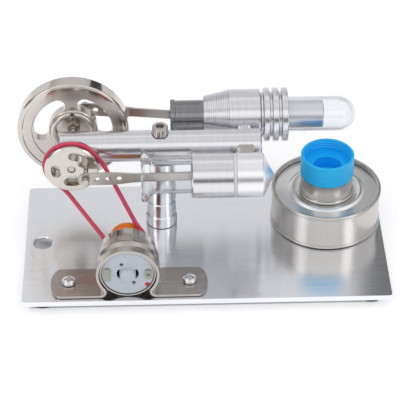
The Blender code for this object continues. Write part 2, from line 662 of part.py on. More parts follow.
def build_flywheel(place):
    front = WHEEL_FRONT_Y - BEAM_Y
    back = WHEEL_BACK_Y - BEAM_Y
    outer = FLYWHEEL_DIAMETER / 2
    rim = outer - FLYWHEEL_RIM
    step = rim + FLYWHEEL_STEP_WIDTH
    web_front = front + (FLYWHEEL_THICK - FLYWHEEL_WEB) / 2
    web_back = web_front + FLYWHEEL_WEB
    hub = HUB_DIAMETER / 2
    hub_front = front - HUB_STAND
    ring = hub + HUB_RING_WIDTH
    bore = SHAFT_DIAMETER / 2 + PIN_PLAY
    profile = [(hub_front, bore), (hub_front, hub - HUB_CHAMFER), (hub_front + HUB_CHAMFER, hub),
               (web_front - FLYWHEEL_STEP, hub), (web_front - FLYWHEEL_STEP, ring - FLYWHEEL_STEP),
               (web_front, ring), (web_front, rim), (front + FLYWHEEL_STEP, rim),
               (front + FLYWHEEL_STEP, step), (front, step + FLYWHEEL_STEP / 2),
               (front, outer - FLYWHEEL_CHAMFER), (front + FLYWHEEL_CHAMFER, outer),
               (back - FLYWHEEL_CHAMFER, outer), (back, outer - FLYWHEEL_CHAMFER),
               (back, rim + FLYWHEEL_STEP), (web_back, rim), (web_back, hub), (back - GAP, hub),
               (back - GAP, bore)]
    wheel = turned("flywheel", "Y", place, profile, nickel(), FINE)
    inner_edge = ring + WINDOW_BORDER
    outer_edge = rim - WINDOW_BORDER
    middle = (inner_edge + outer_edge) / 2
    width = outer_edge - inner_edge
    pitch = 360.0 / WHEEL_WINDOWS
    half_spoke = math.degrees((WHEEL_SPOKE / 2 + width / 2) / middle)
    for index in range(WHEEL_WINDOWS):
        spoke = wheel_spoke_angle(index)
        outline = kidney_outline(middle, width, spoke + half_spoke, spoke + pitch - half_spoke, 12)
        shape = prism_mesh("Y", [(z, x) for x, z in outline], web_front - HUB_STAND, web_back + HUB_STAND)
        cut(wheel, shape, place, "window_%d" % index)
    hole_radius = SET_SCREW_DIAMETER / 2 + PIN_PLAY
    screw_place = (place[0], place[1] + hub_front + hole_radius + GAP, place[2])
    hole = rod_profile(0.0, hub + GAP, hole_radius)
    cut(wheel, turned_mesh("Z", hole, SMALL, DRILL_TURN), screw_place, "set_screw")
    grub = rod_profile(SHAFT_DIAMETER / 2 + GAP, hub - GAP, SET_SCREW_DIAMETER / 2)
    screw = turned("flywheel_set_screw", "Z", screw_place, grub, dark_steel(), SMALL)
    key = hexagon_outline(SET_SCREW_DIAMETER / 2)
    socket = prism_mesh("Z", key, hub - GAP - SET_SCREW_DIAMETER / 2, hub)
    cut(screw, socket, screw_place, "socket")


def wheel_spoke_angle(index):
    return WHEEL_TURN + index * 360.0 / WHEEL_WINDOWS


def build_crank_disc(place):
    front = DISC_FRONT_Y - BEAM_Y
    back = DISC_BACK_Y - BEAM_Y
    outer = DISC_DIAMETER / 2
    root = DISC_BELT_RADIUS - BELT_DIAMETER / 2 - GAP
    groove_front = front + DISC_FLANGE
    groove_back = back - DISC_FLANGE
    bore = SHAFT_DIAMETER / 2 + PIN_PLAY
    profile = [(front, bore), (front, outer - DISC_CHAMFER), (front + DISC_CHAMFER, outer),
               (groove_front, outer), (groove_front + DISC_CHAMFER, root),
               (groove_back - DISC_CHAMFER, root), (groove_back, outer), (back - DISC_CHAMFER, outer),
               (back, outer - DISC_CHAMFER), (back, bore)]
    disc = turned("crank_disc", "Y", place, profile, nickel(), FINE)
    for label, start, end in DISC_WINDOWS:
        outline = kidney_outline(DISC_WINDOW_RADIUS, DISC_WINDOW_WIDTH, start, end, 6)
        shape = prism_mesh("Y", [(z, x) for x, z in outline], front - GAP, back + GAP)
        cut(disc, shape, place, label)


def soft_ramp(value):
    """Zero, then a straight ramp, with a round corner between them."""
    if value <= -BELT_EASE:
        return 0.0
    if value >= BELT_EASE:
        return value
    return (value + BELT_EASE) ** 2 / (4 * BELT_EASE)


def belt_path():
    """Points along the middle of the belt: round the disc, down to the pulley and back.

    Each run leaves its groove straight and then crosses from the disc's plane to the pulley's.
    """
    first = Vector((CRANK_X, AXIS_Z))
    second = Vector((MOTOR_X, MOTOR_Z))
    apart = second - first
    heading = math.atan2(apart.y, apart.x)
    lean = math.acos((DISC_BELT_RADIUS - PULLEY_BELT_RADIUS) / apart.length)
    points = []

    def wrap(centre, radius, start, end, depth, steps):
        for step in range(steps + 1):
            angle = start + (end - start) * step / steps
            points.append(Vector((centre.x + radius * math.cos(angle), depth,
                                  centre.y + radius * math.sin(angle))))

    def run_to(target, steps, flat_start, flat_end):
        origin = points[-1].copy()
        for step in range(1, steps):
            part = step / steps
            crossed = soft_ramp(part - flat_start) - soft_ramp(part - 1.0 + flat_end)
            point = origin.lerp(target, part)
            point.y = origin.y + (target.y - origin.y) * crossed / (1.0 - flat_start - flat_end)
            points.append(point)

    upper = heading + lean
    lower = heading - lean
    wrap(first, DISC_BELT_RADIUS, upper, lower + 2 * math.pi, BELT_Y, DISC_WRAP_STEPS)
    landing = Vector((second.x + PULLEY_BELT_RADIUS * math.cos(lower), PULLEY_Y,
                      second.y + PULLEY_BELT_RADIUS * math.sin(lower)))
    run_to(landing, BELT_RUN_STEPS, BELT_STRAIGHT_START, BELT_STRAIGHT_END)
    wrap(second, PULLEY_BELT_RADIUS, lower, upper, PULLEY_Y, PULLEY_WRAP_STEPS)
    run_to(points[0], BELT_RUN_STEPS, BELT_STRAIGHT_END, BELT_STRAIGHT_START)
    return points


def loop_tube(points, radius, sides):
    """A closed round tube along a loop of points."""
    builder = bmesh.new()
    count = len(points)
    rings = []
    for index in range(count):
        ahead = (points[(index + 1) % count] - points[index - 1]).normalized()
        across = ahead.cross(Vector((0.0, 1.0, 0.0))).normalized()
        up = ahead.cross(across)
        ring = []
        for side in range(sides):
            angle = 2 * math.pi * side / sides
            offset = across * math.cos(angle) + up * math.sin(angle)
            ring.append(builder.verts.new(points[index] + offset * radius))
        rings.append(ring)
    for index in range(count):
        ring = rings[index]
        beyond = rings[(index + 1) % count]
        for side in range(sides):
            after = (side + 1) % sides
            builder.faces.new([ring[side], ring[after], beyond[after], beyond[side]])
    return builder


def build_belt_and_pulley():
    finish_object("drive_belt", loop_tube(belt_path(), BELT_DIAMETER / 2, BELT_SIDES), (0.0, 0.0, 0.0),
                  belt_rubber(), 60.0)
    root = PULLEY_BELT_RADIUS - BELT_DIAMETER / 2 - GAP
    flange = PULLEY_BELT_RADIUS
    half = PULLEY_GROOVE_WIDTH / 2
    end = half + PULLEY_FLANGE
    bore = MOTOR_SHAFT_DIAMETER / 2 + PIN_PLAY
    profile = [(-end, bore), (-end, flange), (-half, flange), (-half + DISC_CHAMFER, root),
               (half - DISC_CHAMFER, root), (half, flange), (end, flange), (end, bore)]
    turned("drive_pulley", "Y", (MOTOR_X, PULLEY_Y, MOTOR_Z), profile, pulley_plastic(), MEDIUM)


def build_motor():
    place = (MOTOR_X, MOTOR_FRONT_Y, MOTOR_Z)
    outer = MOTOR_DIAMETER / 2
    inner = outer - MOTOR_WALL
    boss = MOTOR_BOSS_DIAMETER / 2
    shaft = MOTOR_SHAFT_DIAMETER / 2
    length = MOTOR_LENGTH
    profile = [(0.0, inner), (0.0, outer - GAP), (GAP, outer), (length - MOTOR_WALL, outer),
               (length, outer - MOTOR_WALL), (length, boss), (length + MOTOR_BOSS_HEIGHT, boss - GAP),
               (length + MOTOR_BOSS_HEIGHT, shaft + RUN), (length - MOTOR_WALL, shaft + RUN),
               (length - MOTOR_WALL, inner)]
    turned("motor_can", "Y", place, profile, chrome(), FINE)

    bell_outer = inner - RUN
    bell_back = BELL_RECESS + BELL_THICK
    bell_profile = [(BELL_RECESS, 0.0), (BELL_RECESS, boss - 3 * GAP), (BELL_RECESS - GAP, boss - 2 * GAP),
                    (BELL_RECESS - GAP, boss), (BELL_RECESS, boss + GAP), (BELL_RECESS, bell_outer),
                    (bell_back, bell_outer), (bell_back, 0.0)]
    bell = turned("motor_end_bell", "Y", place, bell_profile, motor_plastic(), MEDIUM)
    for label, middle in (("slot_right", 0.0), ("slot_left", 180.0)):
        outline = kidney_outline(BELL_SLOT_RADIUS, BELL_SLOT_WIDTH, middle - BELL_SLOT_SWEEP / 2,
                                 middle + BELL_SLOT_SWEEP / 2, 5, 4)
        cut(bell, prism_mesh("Y", [(z, x) for x, z in outline], 0.0, bell_back + GAP), place, label)
    for label, degrees in (("hole_upper", BELL_HOLE_ANGLE), ("hole_lower", BELL_HOLE_ANGLE + 180.0)):
        angle = math.radians(degrees)
        centre = (place[0] + BELL_HOLE_RADIUS * math.cos(angle), place[1],
                  place[2] + BELL_HOLE_RADIUS * math.sin(angle))
        drill(bell, "Y", centre, BELL_HOLE_DIAMETER / 2, label, bell_back + GAP)
    for name, sign in (("motor_terminal_left", -1), ("motor_terminal_right", 1)):
        outline = rounded_box_outline(TERMINAL_LENGTH, TERMINAL_WIDTH, TERMINAL_WIDTH / 2 - GAP)
        spot = (place[0] + sign * TERMINAL_RADIUS, place[1] + BELL_RECESS - RUN, place[2])
        prism(name, "Y", spot, outline, -TERMINAL_THICK, 0.0, brass())

    magnet_outer = inner - RUN
    back_inside = length - MOTOR_WALL - GAP
    magnet_start = back_inside - ARMATURE_LENGTH
    magnet = tube_profile(magnet_start, back_inside, magnet_outer - MAGNET_THICK, magnet_outer)
    turned("motor_magnet", "Y", place, magnet, dark_steel(), MEDIUM)
    armature_end = back_inside - 2 * GAP
    armature_start = armature_end - ARMATURE_LENGTH
    armature = tube_profile(armature_start, armature_end, shaft + PIN_PLAY, ARMATURE_DIAMETER / 2)
    turned("motor_armature", "Y", place, armature, dark_steel(), MEDIUM)
    pulley_end = PULLEY_Y + PULLEY_GROOVE_WIDTH / 2 + PULLEY_FLANGE - place[1]
    rotor_shaft = rod_profile(bell_back + GAP, pulley_end + GAP, shaft)
    turned("motor_shaft", "Y", place, rotor_shaft, dark_steel(), SMALL)


def strap_stations():
    """Places along the strap: X and Z, the outward normal, the rib's share and the width's share."""
    stations = []
    foot_z = PLATE_TOP + GAP + STRAP_THICK / 2
    mid = STRAP_INNER + STRAP_THICK / 2
    fillet = STRAP_FILLET + STRAP_THICK / 2
    drop = MOTOR_Z - foot_z
    centre_x = math.sqrt((mid + fillet) ** 2 - (drop - fillet) ** 2)
    meet = math.atan2(fillet - drop, centre_x)

    def foot(sign, reach):
        run = []
        straight = reach - STRAP_END_ROUND
        for step in range(STRAP_END_STEPS + 1):
            swing = math.radians(90.0 * (1 - step / STRAP_END_STEPS))
            run.append((sign * (straight + STRAP_END_ROUND * math.sin(swing)), foot_z, 0.0, 1.0, 0.0,
                        math.cos(swing) if step else STRAP_END_FULLNESS))
        return run

    def bend(sign):
        run = []
        low = -math.pi / 2
        high = math.pi + meet
        for step in range(1, STRAP_BEND_STEPS):
            angle = low + (high - 2 * math.pi - low) * step / STRAP_BEND_STEPS
            run.append((sign * (centre_x + fillet * math.cos(angle)),
                        foot_z + fillet + fillet * math.sin(angle),
                        -sign * math.cos(angle), -math.sin(angle), 0.0, 1.0))
        return run

    stations += foot(-1, STRAP_FOOT_LEFT)
    stations.append((-centre_x, foot_z, 0.0, 1.0, 0.0, 1.0))
    stations += bend(-1)
    for step in range(STRAP_ARCH_STEPS + 1):
        angle = math.pi - meet - (math.pi - 2 * meet) * step / STRAP_ARCH_STEPS
        rib = max(0.0, math.sin(angle)) ** 0.5
        stations.append((mid * math.cos(angle), drop + foot_z + mid * math.sin(angle),
                         math.cos(angle), math.sin(angle), rib, 1.0))
    stations += reversed(bend(1))
    stations.append((centre_x, foot_z, 0.0, 1.0, 0.0, 1.0))
    stations += reversed(foot(1, STRAP_FOOT_RIGHT))
    return stations


def build_strap():
    """The strap is one bent ribbon: flat feet, small bends and a ribbed arch over the motor."""
    builder = bmesh.new()
    rings = []
    half_rib = STRAP_RIB_WIDTH / 2
    for x, z, normal_x, normal_z, rib, fullness in strap_stations():
        lift = 0.0
        if abs(x) < STRAP_OUTER + STRAP_FILLET:
            lift = max(0.0, min(1.0, (z - PLATE_TOP) / STRAP_FILLET - 1.0))
        width = STRAP_FOOT_WIDTH + (STRAP_WIDTH - STRAP_FOOT_WIDTH) * lift
        middle = STRAP_FRONT_Y + width / 2
        reach = width / 2 * fullness
        across = [-reach, -half_rib * fullness, -half_rib * fullness / 2, half_rib * fullness / 2,
                  half_rib * fullness, reach]
        raised = [0.0, 0.0, 1.0, 1.0, 0.0, 0.0]
        ring = []
        for offset, bump in zip(across, raised):
            out = STRAP_THICK / 2 + STRAP_RIB_HEIGHT * bump * rib
            ring.append(builder.verts.new((x + normal_x * out, middle + offset, z + normal_z * out)))
        for offset in reversed(across):
            ring.append(builder.verts.new((x - normal_x * STRAP_THICK / 2, middle + offset,
                                           z - normal_z * STRAP_THICK / 2)))
        rings.append(ring)
    for ring, beyond in zip(rings, rings[1:]):
        for side in range(len(ring)):
            after = (side + 1) % len(ring)
            builder.faces.new([ring[side], ring[after], beyond[after], beyond[side]])
    builder.faces.new(rings[0])
    builder.faces.new(rings[-1])
    strap = finish_object("motor_strap", builder, (MOTOR_X, 0.0, 0.0), chrome(), 40.0)
    seat = PLATE_TOP + GAP + STRAP_THICK
    for label, x in strap_screw_places():
        drill(strap, "Z", (x, STRAP_MIDDLE_Y, seat), STRAP_SCREW_SHANK / 2 + PIN_PLAY, label)
        build_strap_screw(label, x, seat + GAP)


def build_strap_screw(label, x, seat):
    head = STRAP_SCREW_HEAD / 2
    height = STRAP_SCREW_HEAD_HEIGHT
    shank = STRAP_SCREW_SHANK / 2
    bottom = PLATE_BOTTOM - GAP - STRAP_NUT_HEIGHT
    profile = [(bottom - seat, 0.0), (bottom - seat, shank), (0.0, shank), (0.0, head),
               (STRAP_SCREW_EDGE, head),
               (STRAP_SCREW_SHOULDER, STRAP_SCREW_SHOULDER_DIAMETER / 2),
               (height, STRAP_SCREW_CROWN_DIAMETER / 2), (height, 0.0)]
    screw = turned(label + "_screw", "Z", (x, STRAP_MIDDLE_Y, seat), profile, chrome(), SMALL)
    arm = CROSS_LENGTH / 2
    half = CROSS_SLOT / 2
    cross = [(arm, -half), (arm, half), (half, half), (half, arm), (-half, arm), (-half, half), (-arm, half),
             (-arm, -half), (-half, -half), (-half, -arm), (half, -arm), (half, -half)]
    cut(screw, prism_mesh("Z", cross, CROSS_FLOOR, height + GAP), (x, STRAP_MIDDLE_Y, seat), "cross")
    nut = prism(label + "_nut", "Z", (x, STRAP_MIDDLE_Y, bottom), hexagon_outline(STRAP_NUT_FLATS),
                0.0, STRAP_NUT_HEIGHT, chrome())
    drill(nut, "Z", (x, STRAP_MIDDLE_Y, bottom), shank + PIN_PLAY, "thread", 2 * STRAP_NUT_HEIGHT)


def rod_outline(length):
    """Flat connecting rod: a wide round end, a taper and a narrow round end, from 0 to its length."""
    big = ROD_BIG_END / 2
    small = ROD_SMALL_END / 2
    outline = arc_points((0.0, 0.0), big, 90.0, 270.0, 8)
    outline += [(ROD_TAPER_START, -big), (ROD_TAPER_END, -small)]
    outline += arc_points((length, 0.0), small, -90.0, 90.0, 8)
    outline += [(ROD_TAPER_END, small), (ROD_TAPER_START, big)]
    return outline


def build_rod(name, pin, wrist):
    """A flat rod from its crank pin to its wrist pin, with its origin on the wrist."""
    pin = Vector(pin)
    wrist = Vector(wrist)
    along = (wrist - pin).normalized()
    across = Vector((-along.z, 0.0, along.x)).normalized()
    face = along.cross(across)
    frame = Matrix((along, across, face)).transposed()
    reach = (wrist - pin).length
    builder = prism_mesh("Z", rod_outline(reach), -ROD_THICK / 2, ROD_THICK / 2)
    transform = frame.to_4x4()
    transform.translation = pin - wrist
    builder.transform(transform)
    rod = finish_object(name, builder, wrist, nickel())
    holes = [("pin", 0.0, CRANK_PIN_DIAMETER / 2 + PIN_PLAY)]
    for index in range(ROD_HOLE_COUNT):
        holes.append(("light_%d" % index, ROD_HOLE_PITCH * (index + 1), ROD_HOLE / 2))
    holes.append(("wrist", reach, WRIST_PIN_DIAMETER / 2 + PIN_PLAY))
    for label, distance, radius in holes:
        drill(rod, "Y", pin + along * distance, radius, label, ROD_BIG_END)
    return rod


def build_crank_pin(name, place, carrier_face, towards):
    """A headed pin carried by the rod; its tail stops a gap short of the turning face."""
    x, y, z = place
    near = (carrier_face - y) - towards * GAP
    far = -towards * (ROD_THICK / 2 + GAP)
    head_end = far - towards * CRANK_PIN_TAIL
    radius = CRANK_PIN_DIAMETER / 2
    head = CRANK_PIN_HEAD / 2
    profile = [(near, 0.0), (near, radius), (far, radius), (far, head), (head_end, head), (head_end, 0.0)]
    turned(name, "Y", (x, y, z), profile, dark_steel(), SMALL)


def slotted_slider(name, place, skirt, length, diameter, material, tail_hole=0.0):
    """A round slider with an open slot for a rod at its left end and a cross hole for the wrist pin."""
    slider = turned(name, "X", place, rod_profile(-skirt, length - skirt, diameter / 2, GAP), material)
    half = ROD_SLOT / 2
    depth = ROD_SMALL_END / 2 + 2 * GAP
    slot = [(-half, -diameter), (half, -diameter), (half, diameter), (-half, diameter)]
    cut(slider, prism_mesh("X", slot, -skirt - GAP, depth), place, "slot")
    drill(slider, "Y", place, WRIST_PIN_DIAMETER / 2 + PIN_PLAY / 2, "wrist", diameter)
    if tail_hole > 0.0:
        bore = rod_profile(depth + 4 * GAP, length, tail_hole)
        cut(slider, turned_mesh("X", bore, SMALL), place, "tail")
    return slider


def build_power_cylinder():
    place = (BARREL_X, POWER_Y, AXIS_Z)
    outer = BARREL_DIAMETER / 2
    glass_outer = GLASS_DIAMETER / 2
    glass_inner = GLASS_BORE / 2
    chamfer = BARREL_CHAMFER
    barrel = [(0.0, glass_outer + RUN), (0.0, outer - chamfer), (chamfer, outer), (BARREL_LENGTH, outer),
              (BARREL_LENGTH, glass_outer + RUN)]
    turned("power_barrel", "X", place, barrel, aluminium(), MEDIUM)
    ring_start = BARREL_LENGTH + GAP
    turned("power_gasket", "X", place,
           tube_profile(ring_start, ring_start + GASKET_THICK, glass_outer + RUN, outer - GASKET_INSET),
           motor_plastic(), MEDIUM)

    head_place = (HEAD_X, POWER_Y, AXIS_Z)
    head = [(0.0, glass_inner), (0.0, outer), (HEAD_LENGTH - chamfer, outer), (HEAD_LENGTH, outer - chamfer),
            (HEAD_LENGTH + HEAD_CONE, HEAD_TIP_DIAMETER / 2), (HEAD_LENGTH + HEAD_CONE, 0.0),
            (HEAD_BORE_DEPTH, 0.0), (HEAD_BORE_DEPTH, glass_inner)]
    head_piece = turned("power_head", "X", head_place, head, aluminium(), MEDIUM)
    port = rod_profile(0.0, BARREL_DIAMETER, TRANSFER_DIAMETER / 2 + PIN_PLAY)
    cut(head_piece, turned_mesh("Y", port, SMALL, DRILL_TURN), (TRANSFER_X, POWER_Y, AXIS_Z), "port")

    lip = GLASS_LIP_DIAMETER / 2
    mouth = GLASS_LIP_MOUTH / 2
    start = -GLASS_OUT
    flare = start + GLASS_LIP_LENGTH
    tube = [(BARREL_LENGTH, glass_outer), (BARREL_LENGTH, glass_inner), (flare, glass_inner),
            (start + GLASS_LIP_THROAT, (glass_inner + mouth) / 2), (start, mouth),
            (start, lip - GAP), (start + GAP, lip), (start + GLASS_LIP_RIM, lip),
            (start + GLASS_LIP_SHOULDER, lip - GLASS_WALL),
            (start + GLASS_LIP_NECK, glass_outer + GLASS_WALL), (flare, glass_outer + GAP),
            (flare + GLASS_WALL, glass_outer)]
    turned("power_glass", "X", place, tube, glass(), MEDIUM)

    wrist = (POWER_WRIST_X, POWER_Y, AXIS_Z)
    piston = GLASS_BORE - 2 * RUN
    slotted_slider("power_piston", wrist, PISTON_SKIRT, PISTON_LENGTH, piston, dark_steel())
    pin_half = piston / 2 - 3 * GAP
    turned("power_wrist_pin", "Y", wrist, rod_profile(-pin_half, pin_half, WRIST_PIN_DIAMETER / 2),
           chrome(), SMALL)
    pin = (POWER_PIN_X, POWER_Y, POWER_PIN_Z)
    build_rod("power_rod", pin, wrist)
    build_crank_pin("power_crank_pin", pin, DISC_FRONT_Y, 1)


def build_transfer():
    """The hollow stud that joins both cylinders through the beam, with its nut and spacer."""
    start = POWER_Y + GLASS_BORE / 2 + GAP
    end = HOT_Y - HOT_BORE / 2 - GAP
    place = (TRANSFER_X, BEAM_Y, AXIS_Z)
    stud = tube_profile(start - BEAM_Y, end - BEAM_Y, TRANSFER_BORE / 2, TRANSFER_DIAMETER / 2)
    turned("transfer_tube", "Y", place, stud, brass(), SMALL)
    beam_face = BEAM_DIAMETER / 2 + GAP
    nut_end = POWER_OFFSET - BARREL_DIAMETER / 2 - GAP
    hexagon = [(v, u) for u, v in hexagon_outline(LOCK_NUT_FLATS)]
    nut = prism("lock_nut", "Y", place, hexagon, -nut_end, -beam_face, aluminium())
    drill(nut, "Y", place, TRANSFER_DIAMETER / 2 + PIN_PLAY, "thread", BEAM_DIAMETER * 2)
    spacer_end = HOT_OFFSET - BODY_DIAMETER / 2 - GAP
    turned("spacer_ring", "Y", place,
           tube_profile(beam_face, spacer_end, TRANSFER_DIAMETER / 2 + PIN_PLAY, SPACER_DIAMETER / 2),
           aluminium(), SMALL)


def dome_points(centre, radius):
    """Quarter circle from a tube's side to its tip, ending on the axis."""
    points = []
    for step in range(DOME_STEPS):
        angle = math.pi / 2 * step / DOME_STEPS
        points.append((centre + radius * math.sin(angle), radius * math.cos(angle)))
    points.append((centre + radius, 0.0))
    return points


def build_cold_body():
    place = (BODY_X, HOT_Y, AXIS_Z)
    guide = SLEEVE_BORE / 2
    chamber = HOT_BORE / 2
    outer = BODY_DIAMETER / 2
    cone = BODY_CONE_DIAMETER / 2
    gland_bore = GLAND_DIAMETER / 2 + PIN_PLAY
    flange_seat = GLAND_FROM_BODY
    wall_end = GLAND_FROM_BODY + GLAND_LENGTH
    profile = [(0.0, guide), (0.0, cone), (BODY_CONE_LENGTH, outer), (BODY_LENGTH, outer),
               (BODY_LENGTH, chamber), (wall_end, chamber), (wall_end, gland_bore),
               (flange_seat, gland_bore), (flange_seat, guide)]
    body = turned("cold_body", "X", place, profile, aluminium(), MEDIUM)
    port = rod_profile(-BODY_DIAMETER, 0.0, TRANSFER_DIAMETER / 2 + PIN_PLAY)
    cut(body, turned_mesh("Y", port, SMALL, DRILL_TURN), (TRANSFER_X, HOT_Y, AXIS_Z), "port")

    bore = DISPLACER_SHAFT / 2 + RUN
    flange = GLAND_FLANGE / 2
    gland = [(flange_seat - GLAND_LENGTH / 3, bore), (flange_seat - GLAND_LENGTH / 3, flange),
             (flange_seat - GAP, flange), (flange_seat - GAP, GLAND_DIAMETER / 2),
             (wall_end, GLAND_DIAMETER / 2), (wall_end, bore)]
    turned("shaft_gland", "X", place, gland, brass(), SMALL)

    start = CRANK_X + SLEEVE_START - BODY_X
    sleeve = SLEEVE_DIAMETER / 2
    collar = sleeve + SLEEVE_COLLAR
    collar_end = start + SLEEVE_COLLAR_LENGTH
    tube = [(start, guide), (start, collar), (collar_end - GAP, collar), (collar_end, sleeve),
            (-GAP, sleeve), (-GAP, guide)]
    turned("guide_sleeve", "X", place, tube, dark_steel())

    fin_place = (FIN_X, HOT_Y, AXIS_Z)
    radius = FIN_DIAMETER / 2
    root = radius - FIN_SLOT_DEPTH
    seat = HOT_GLASS_DIAMETER / 2 + RUN
    ledge = FIN_LENGTH - HOT_GLASS_SEAT - GAP
    fins = [(0.0, chamber), (0.0, root)]
    for index in range(FIN_COUNT):
        fin_start = FIN_SLOT + index * (FIN_THICK + FIN_SLOT)
        fin_end = fin_start + FIN_THICK
        fins += [(fin_start, root), (fin_start, radius), (fin_end, radius)]
        if index < FIN_COUNT - 1:
            fins.append((fin_end, root))
    fins += [(FIN_LENGTH, seat), (ledge, seat), (ledge, chamber)]
    turned("fin_block", "X", fin_place, fins, aluminium(), MEDIUM)

    glass_outer = HOT_GLASS_DIAMETER / 2
    glass_start = FIN_LENGTH - HOT_GLASS_SEAT
    tip = FIN_LENGTH + HOT_GLASS_OUT
    dome = tip - glass_outer
    tube = [(glass_start, chamber), (glass_start, glass_outer)]
    tube += dome_points(dome, glass_outer)
    tube += reversed(dome_points(dome, chamber))
    turned("hot_glass", "X", fin_place, tube, glass(), MEDIUM)


def build_displacer():
    wrist = (SLIDE_WRIST_X, HOT_Y, AXIS_Z)
    shaft = DISPLACER_SHAFT / 2
    crosshead = SLEEVE_BORE - 2 * RUN
    slotted_slider("crosshead", wrist, CROSSHEAD_SKIRT, CROSSHEAD_LENGTH, crosshead, brass(),
                   shaft + PIN_PLAY / 2)
    pin_half = crosshead / 2 - 3 * GAP
    turned("displacer_wrist_pin", "Y", wrist, rod_profile(-pin_half, pin_half, WRIST_PIN_DIAMETER / 2),
           chrome(), SMALL)
    shaft_start = ROD_SMALL_END / 2 + 7 * GAP
    shaft_end = DISPLACER_START_X - SLIDE_WRIST_X + GLAND_LENGTH
    turned("displacer_shaft", "X", wrist, rod_profile(shaft_start, shaft_end, shaft), chrome(), SMALL)
    place = (DISPLACER_START_X, HOT_Y, AXIS_Z)
    radius = DISPLACER_DIAMETER / 2
    hole = shaft + PIN_PLAY / 2
    profile = [(0.0, hole), (0.0, radius - GAP), (GAP, radius), (DISPLACER_LENGTH - 2 * GAP, radius),
               (DISPLACER_LENGTH, radius - 2 * GAP), (DISPLACER_LENGTH, 0.0), (GLAND_LENGTH + GAP, 0.0),
               (GLAND_LENGTH + GAP, hole)]
    turned("displacer", "X", place, profile, displacer_shell())
    pin = (SLIDE_PIN_X, HOT_Y, SLIDE_PIN_Z)
    build_rod("displacer_rod", pin, wrist)
    build_crank_pin("displacer_crank_pin", pin, WHEEL_BACK_Y, -1)


def build_burner():
    place = (BURNER_X, BURNER_Y, BURNER_Z)
    outer = TIN_DIAMETER / 2
    inner = outer - TIN_WALL
    seam = SEAM_DIAMETER / 2
    seam_inner = seam - SEAM_WIDTH
    seam_low = TIN_HEIGHT - SEAM_HEIGHT
    foot = 2 * TIN_WALL
    profile = [(0.0, 0.0), (0.0, seam - GAP), (GAP, seam), (foot, seam), (foot + GAP, outer),
               (seam_low, outer), (seam_low + GAP, seam), (TIN_HEIGHT - GAP, seam), (TIN_HEIGHT, seam - GAP),
               (TIN_HEIGHT, seam_inner + GAP), (TIN_HEIGHT - GAP, seam_inner),
               (TIN_HEIGHT - LID_DROP + LID_THICK + GAP, seam_inner),
               (TIN_HEIGHT - LID_DROP + LID_THICK + GAP, inner), (TIN_WALL, inner), (TIN_WALL, 0.0)]
    turned("burner_tin", "Z", place, profile, tin_plate(), FINE)

    lid_outer = inner - RUN
    bead = LID_BEAD_RADIUS
    half = LID_BEAD_WIDTH / 2
    thick = LID_THICK
    neck = NECK_DIAMETER / 2
    socket = neck - NECK_WALL
    lid = [(0.0, socket), (0.0, bead - half), (LID_BEAD, bead), (0.0, bead + half), (0.0, lid_outer),
           (thick, lid_outer), (thick, bead + half), (thick + LID_BEAD, bead), (thick, bead - half),
           (thick, socket)]
    turned("burner_lid", "Z", (BURNER_X, BURNER_Y, LID_Z), lid, tin_plate(), FINE)

    flange = neck + NECK_FLANGE
    plug = socket - RUN
    bore = plug - NECK_SOCKET
    neck_profile = [(-thick - 3 * GAP, bore), (-thick - 3 * GAP, plug), (0.0, plug), (0.0, flange),
                    (NECK_FLANGE_HEIGHT, flange), (NECK_FLANGE_HEIGHT + GAP, neck), (NECK_HEIGHT, neck),
                    (NECK_HEIGHT, bore)]
    turned("burner_neck", "Z", (BURNER_X, BURNER_Y, NECK_Z), neck_profile, tin_plate(), MEDIUM)

    wick_top = NECK_Z + NECK_HEIGHT - CAP_PLUG_DEPTH - 2 * GAP - BURNER_Z
    turned("burner_wick", "Z", place, rod_profile(TIN_WALL + GAP, wick_top, WICK_DIAMETER / 2, GAP),
           cotton(), SMALL)

    cap_outer = CAP_DIAMETER / 2
    cap_inner = cap_outer - CAP_WALL
    well = CAP_WELL_DIAMETER / 2
    plug = bore - RUN
    cap = [(-CAP_PLUG_DEPTH, 0.0), (-CAP_PLUG_DEPTH, plug), (0.0, plug), (0.0, cap_outer - GAP),
           (GAP, cap_outer), (CAP_HEIGHT - GAP, cap_outer), (CAP_HEIGHT, cap_outer - GAP),
           (CAP_HEIGHT, cap_inner + GAP),
           (CAP_HEIGHT - GAP, cap_inner)]
    for index in range(CAP_THREADS):
        crest = CAP_HEIGHT - CAP_THREAD_FIRST - index * CAP_THREAD_PITCH
        cap += [(crest + CAP_THREAD, cap_inner), (crest, cap_inner - CAP_THREAD),
                (crest - CAP_THREAD, cap_inner)]
    cap += [(CAP_LEDGE_HEIGHT, cap_inner), (CAP_LEDGE_HEIGHT, well), (CAP_FLOOR, well), (CAP_FLOOR, 0.0)]
    turned("burner_cap", "Z", (BURNER_X, BURNER_Y, CAP_Z), cap, cap_plastic(), MEDIUM)


def main():
    clear_scene()
    build_base()
    build_column_and_beam()
    build_crankshaft()
    build_belt_and_pulley()
    build_motor()
    build_strap()
    build_power_cylinder()
    build_transfer()
    build_cold_body()
    build_displacer()
    build_burner()


main()
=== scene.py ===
"""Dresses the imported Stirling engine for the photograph: fine turned pieces, metals, glass and studio light.

Units are metres in the shared frame.  Places come from the frame's boxes; detail sizes are named below.
"""
import json
import math

import bmesh
import bpy
from mathutils import Matrix, Vector


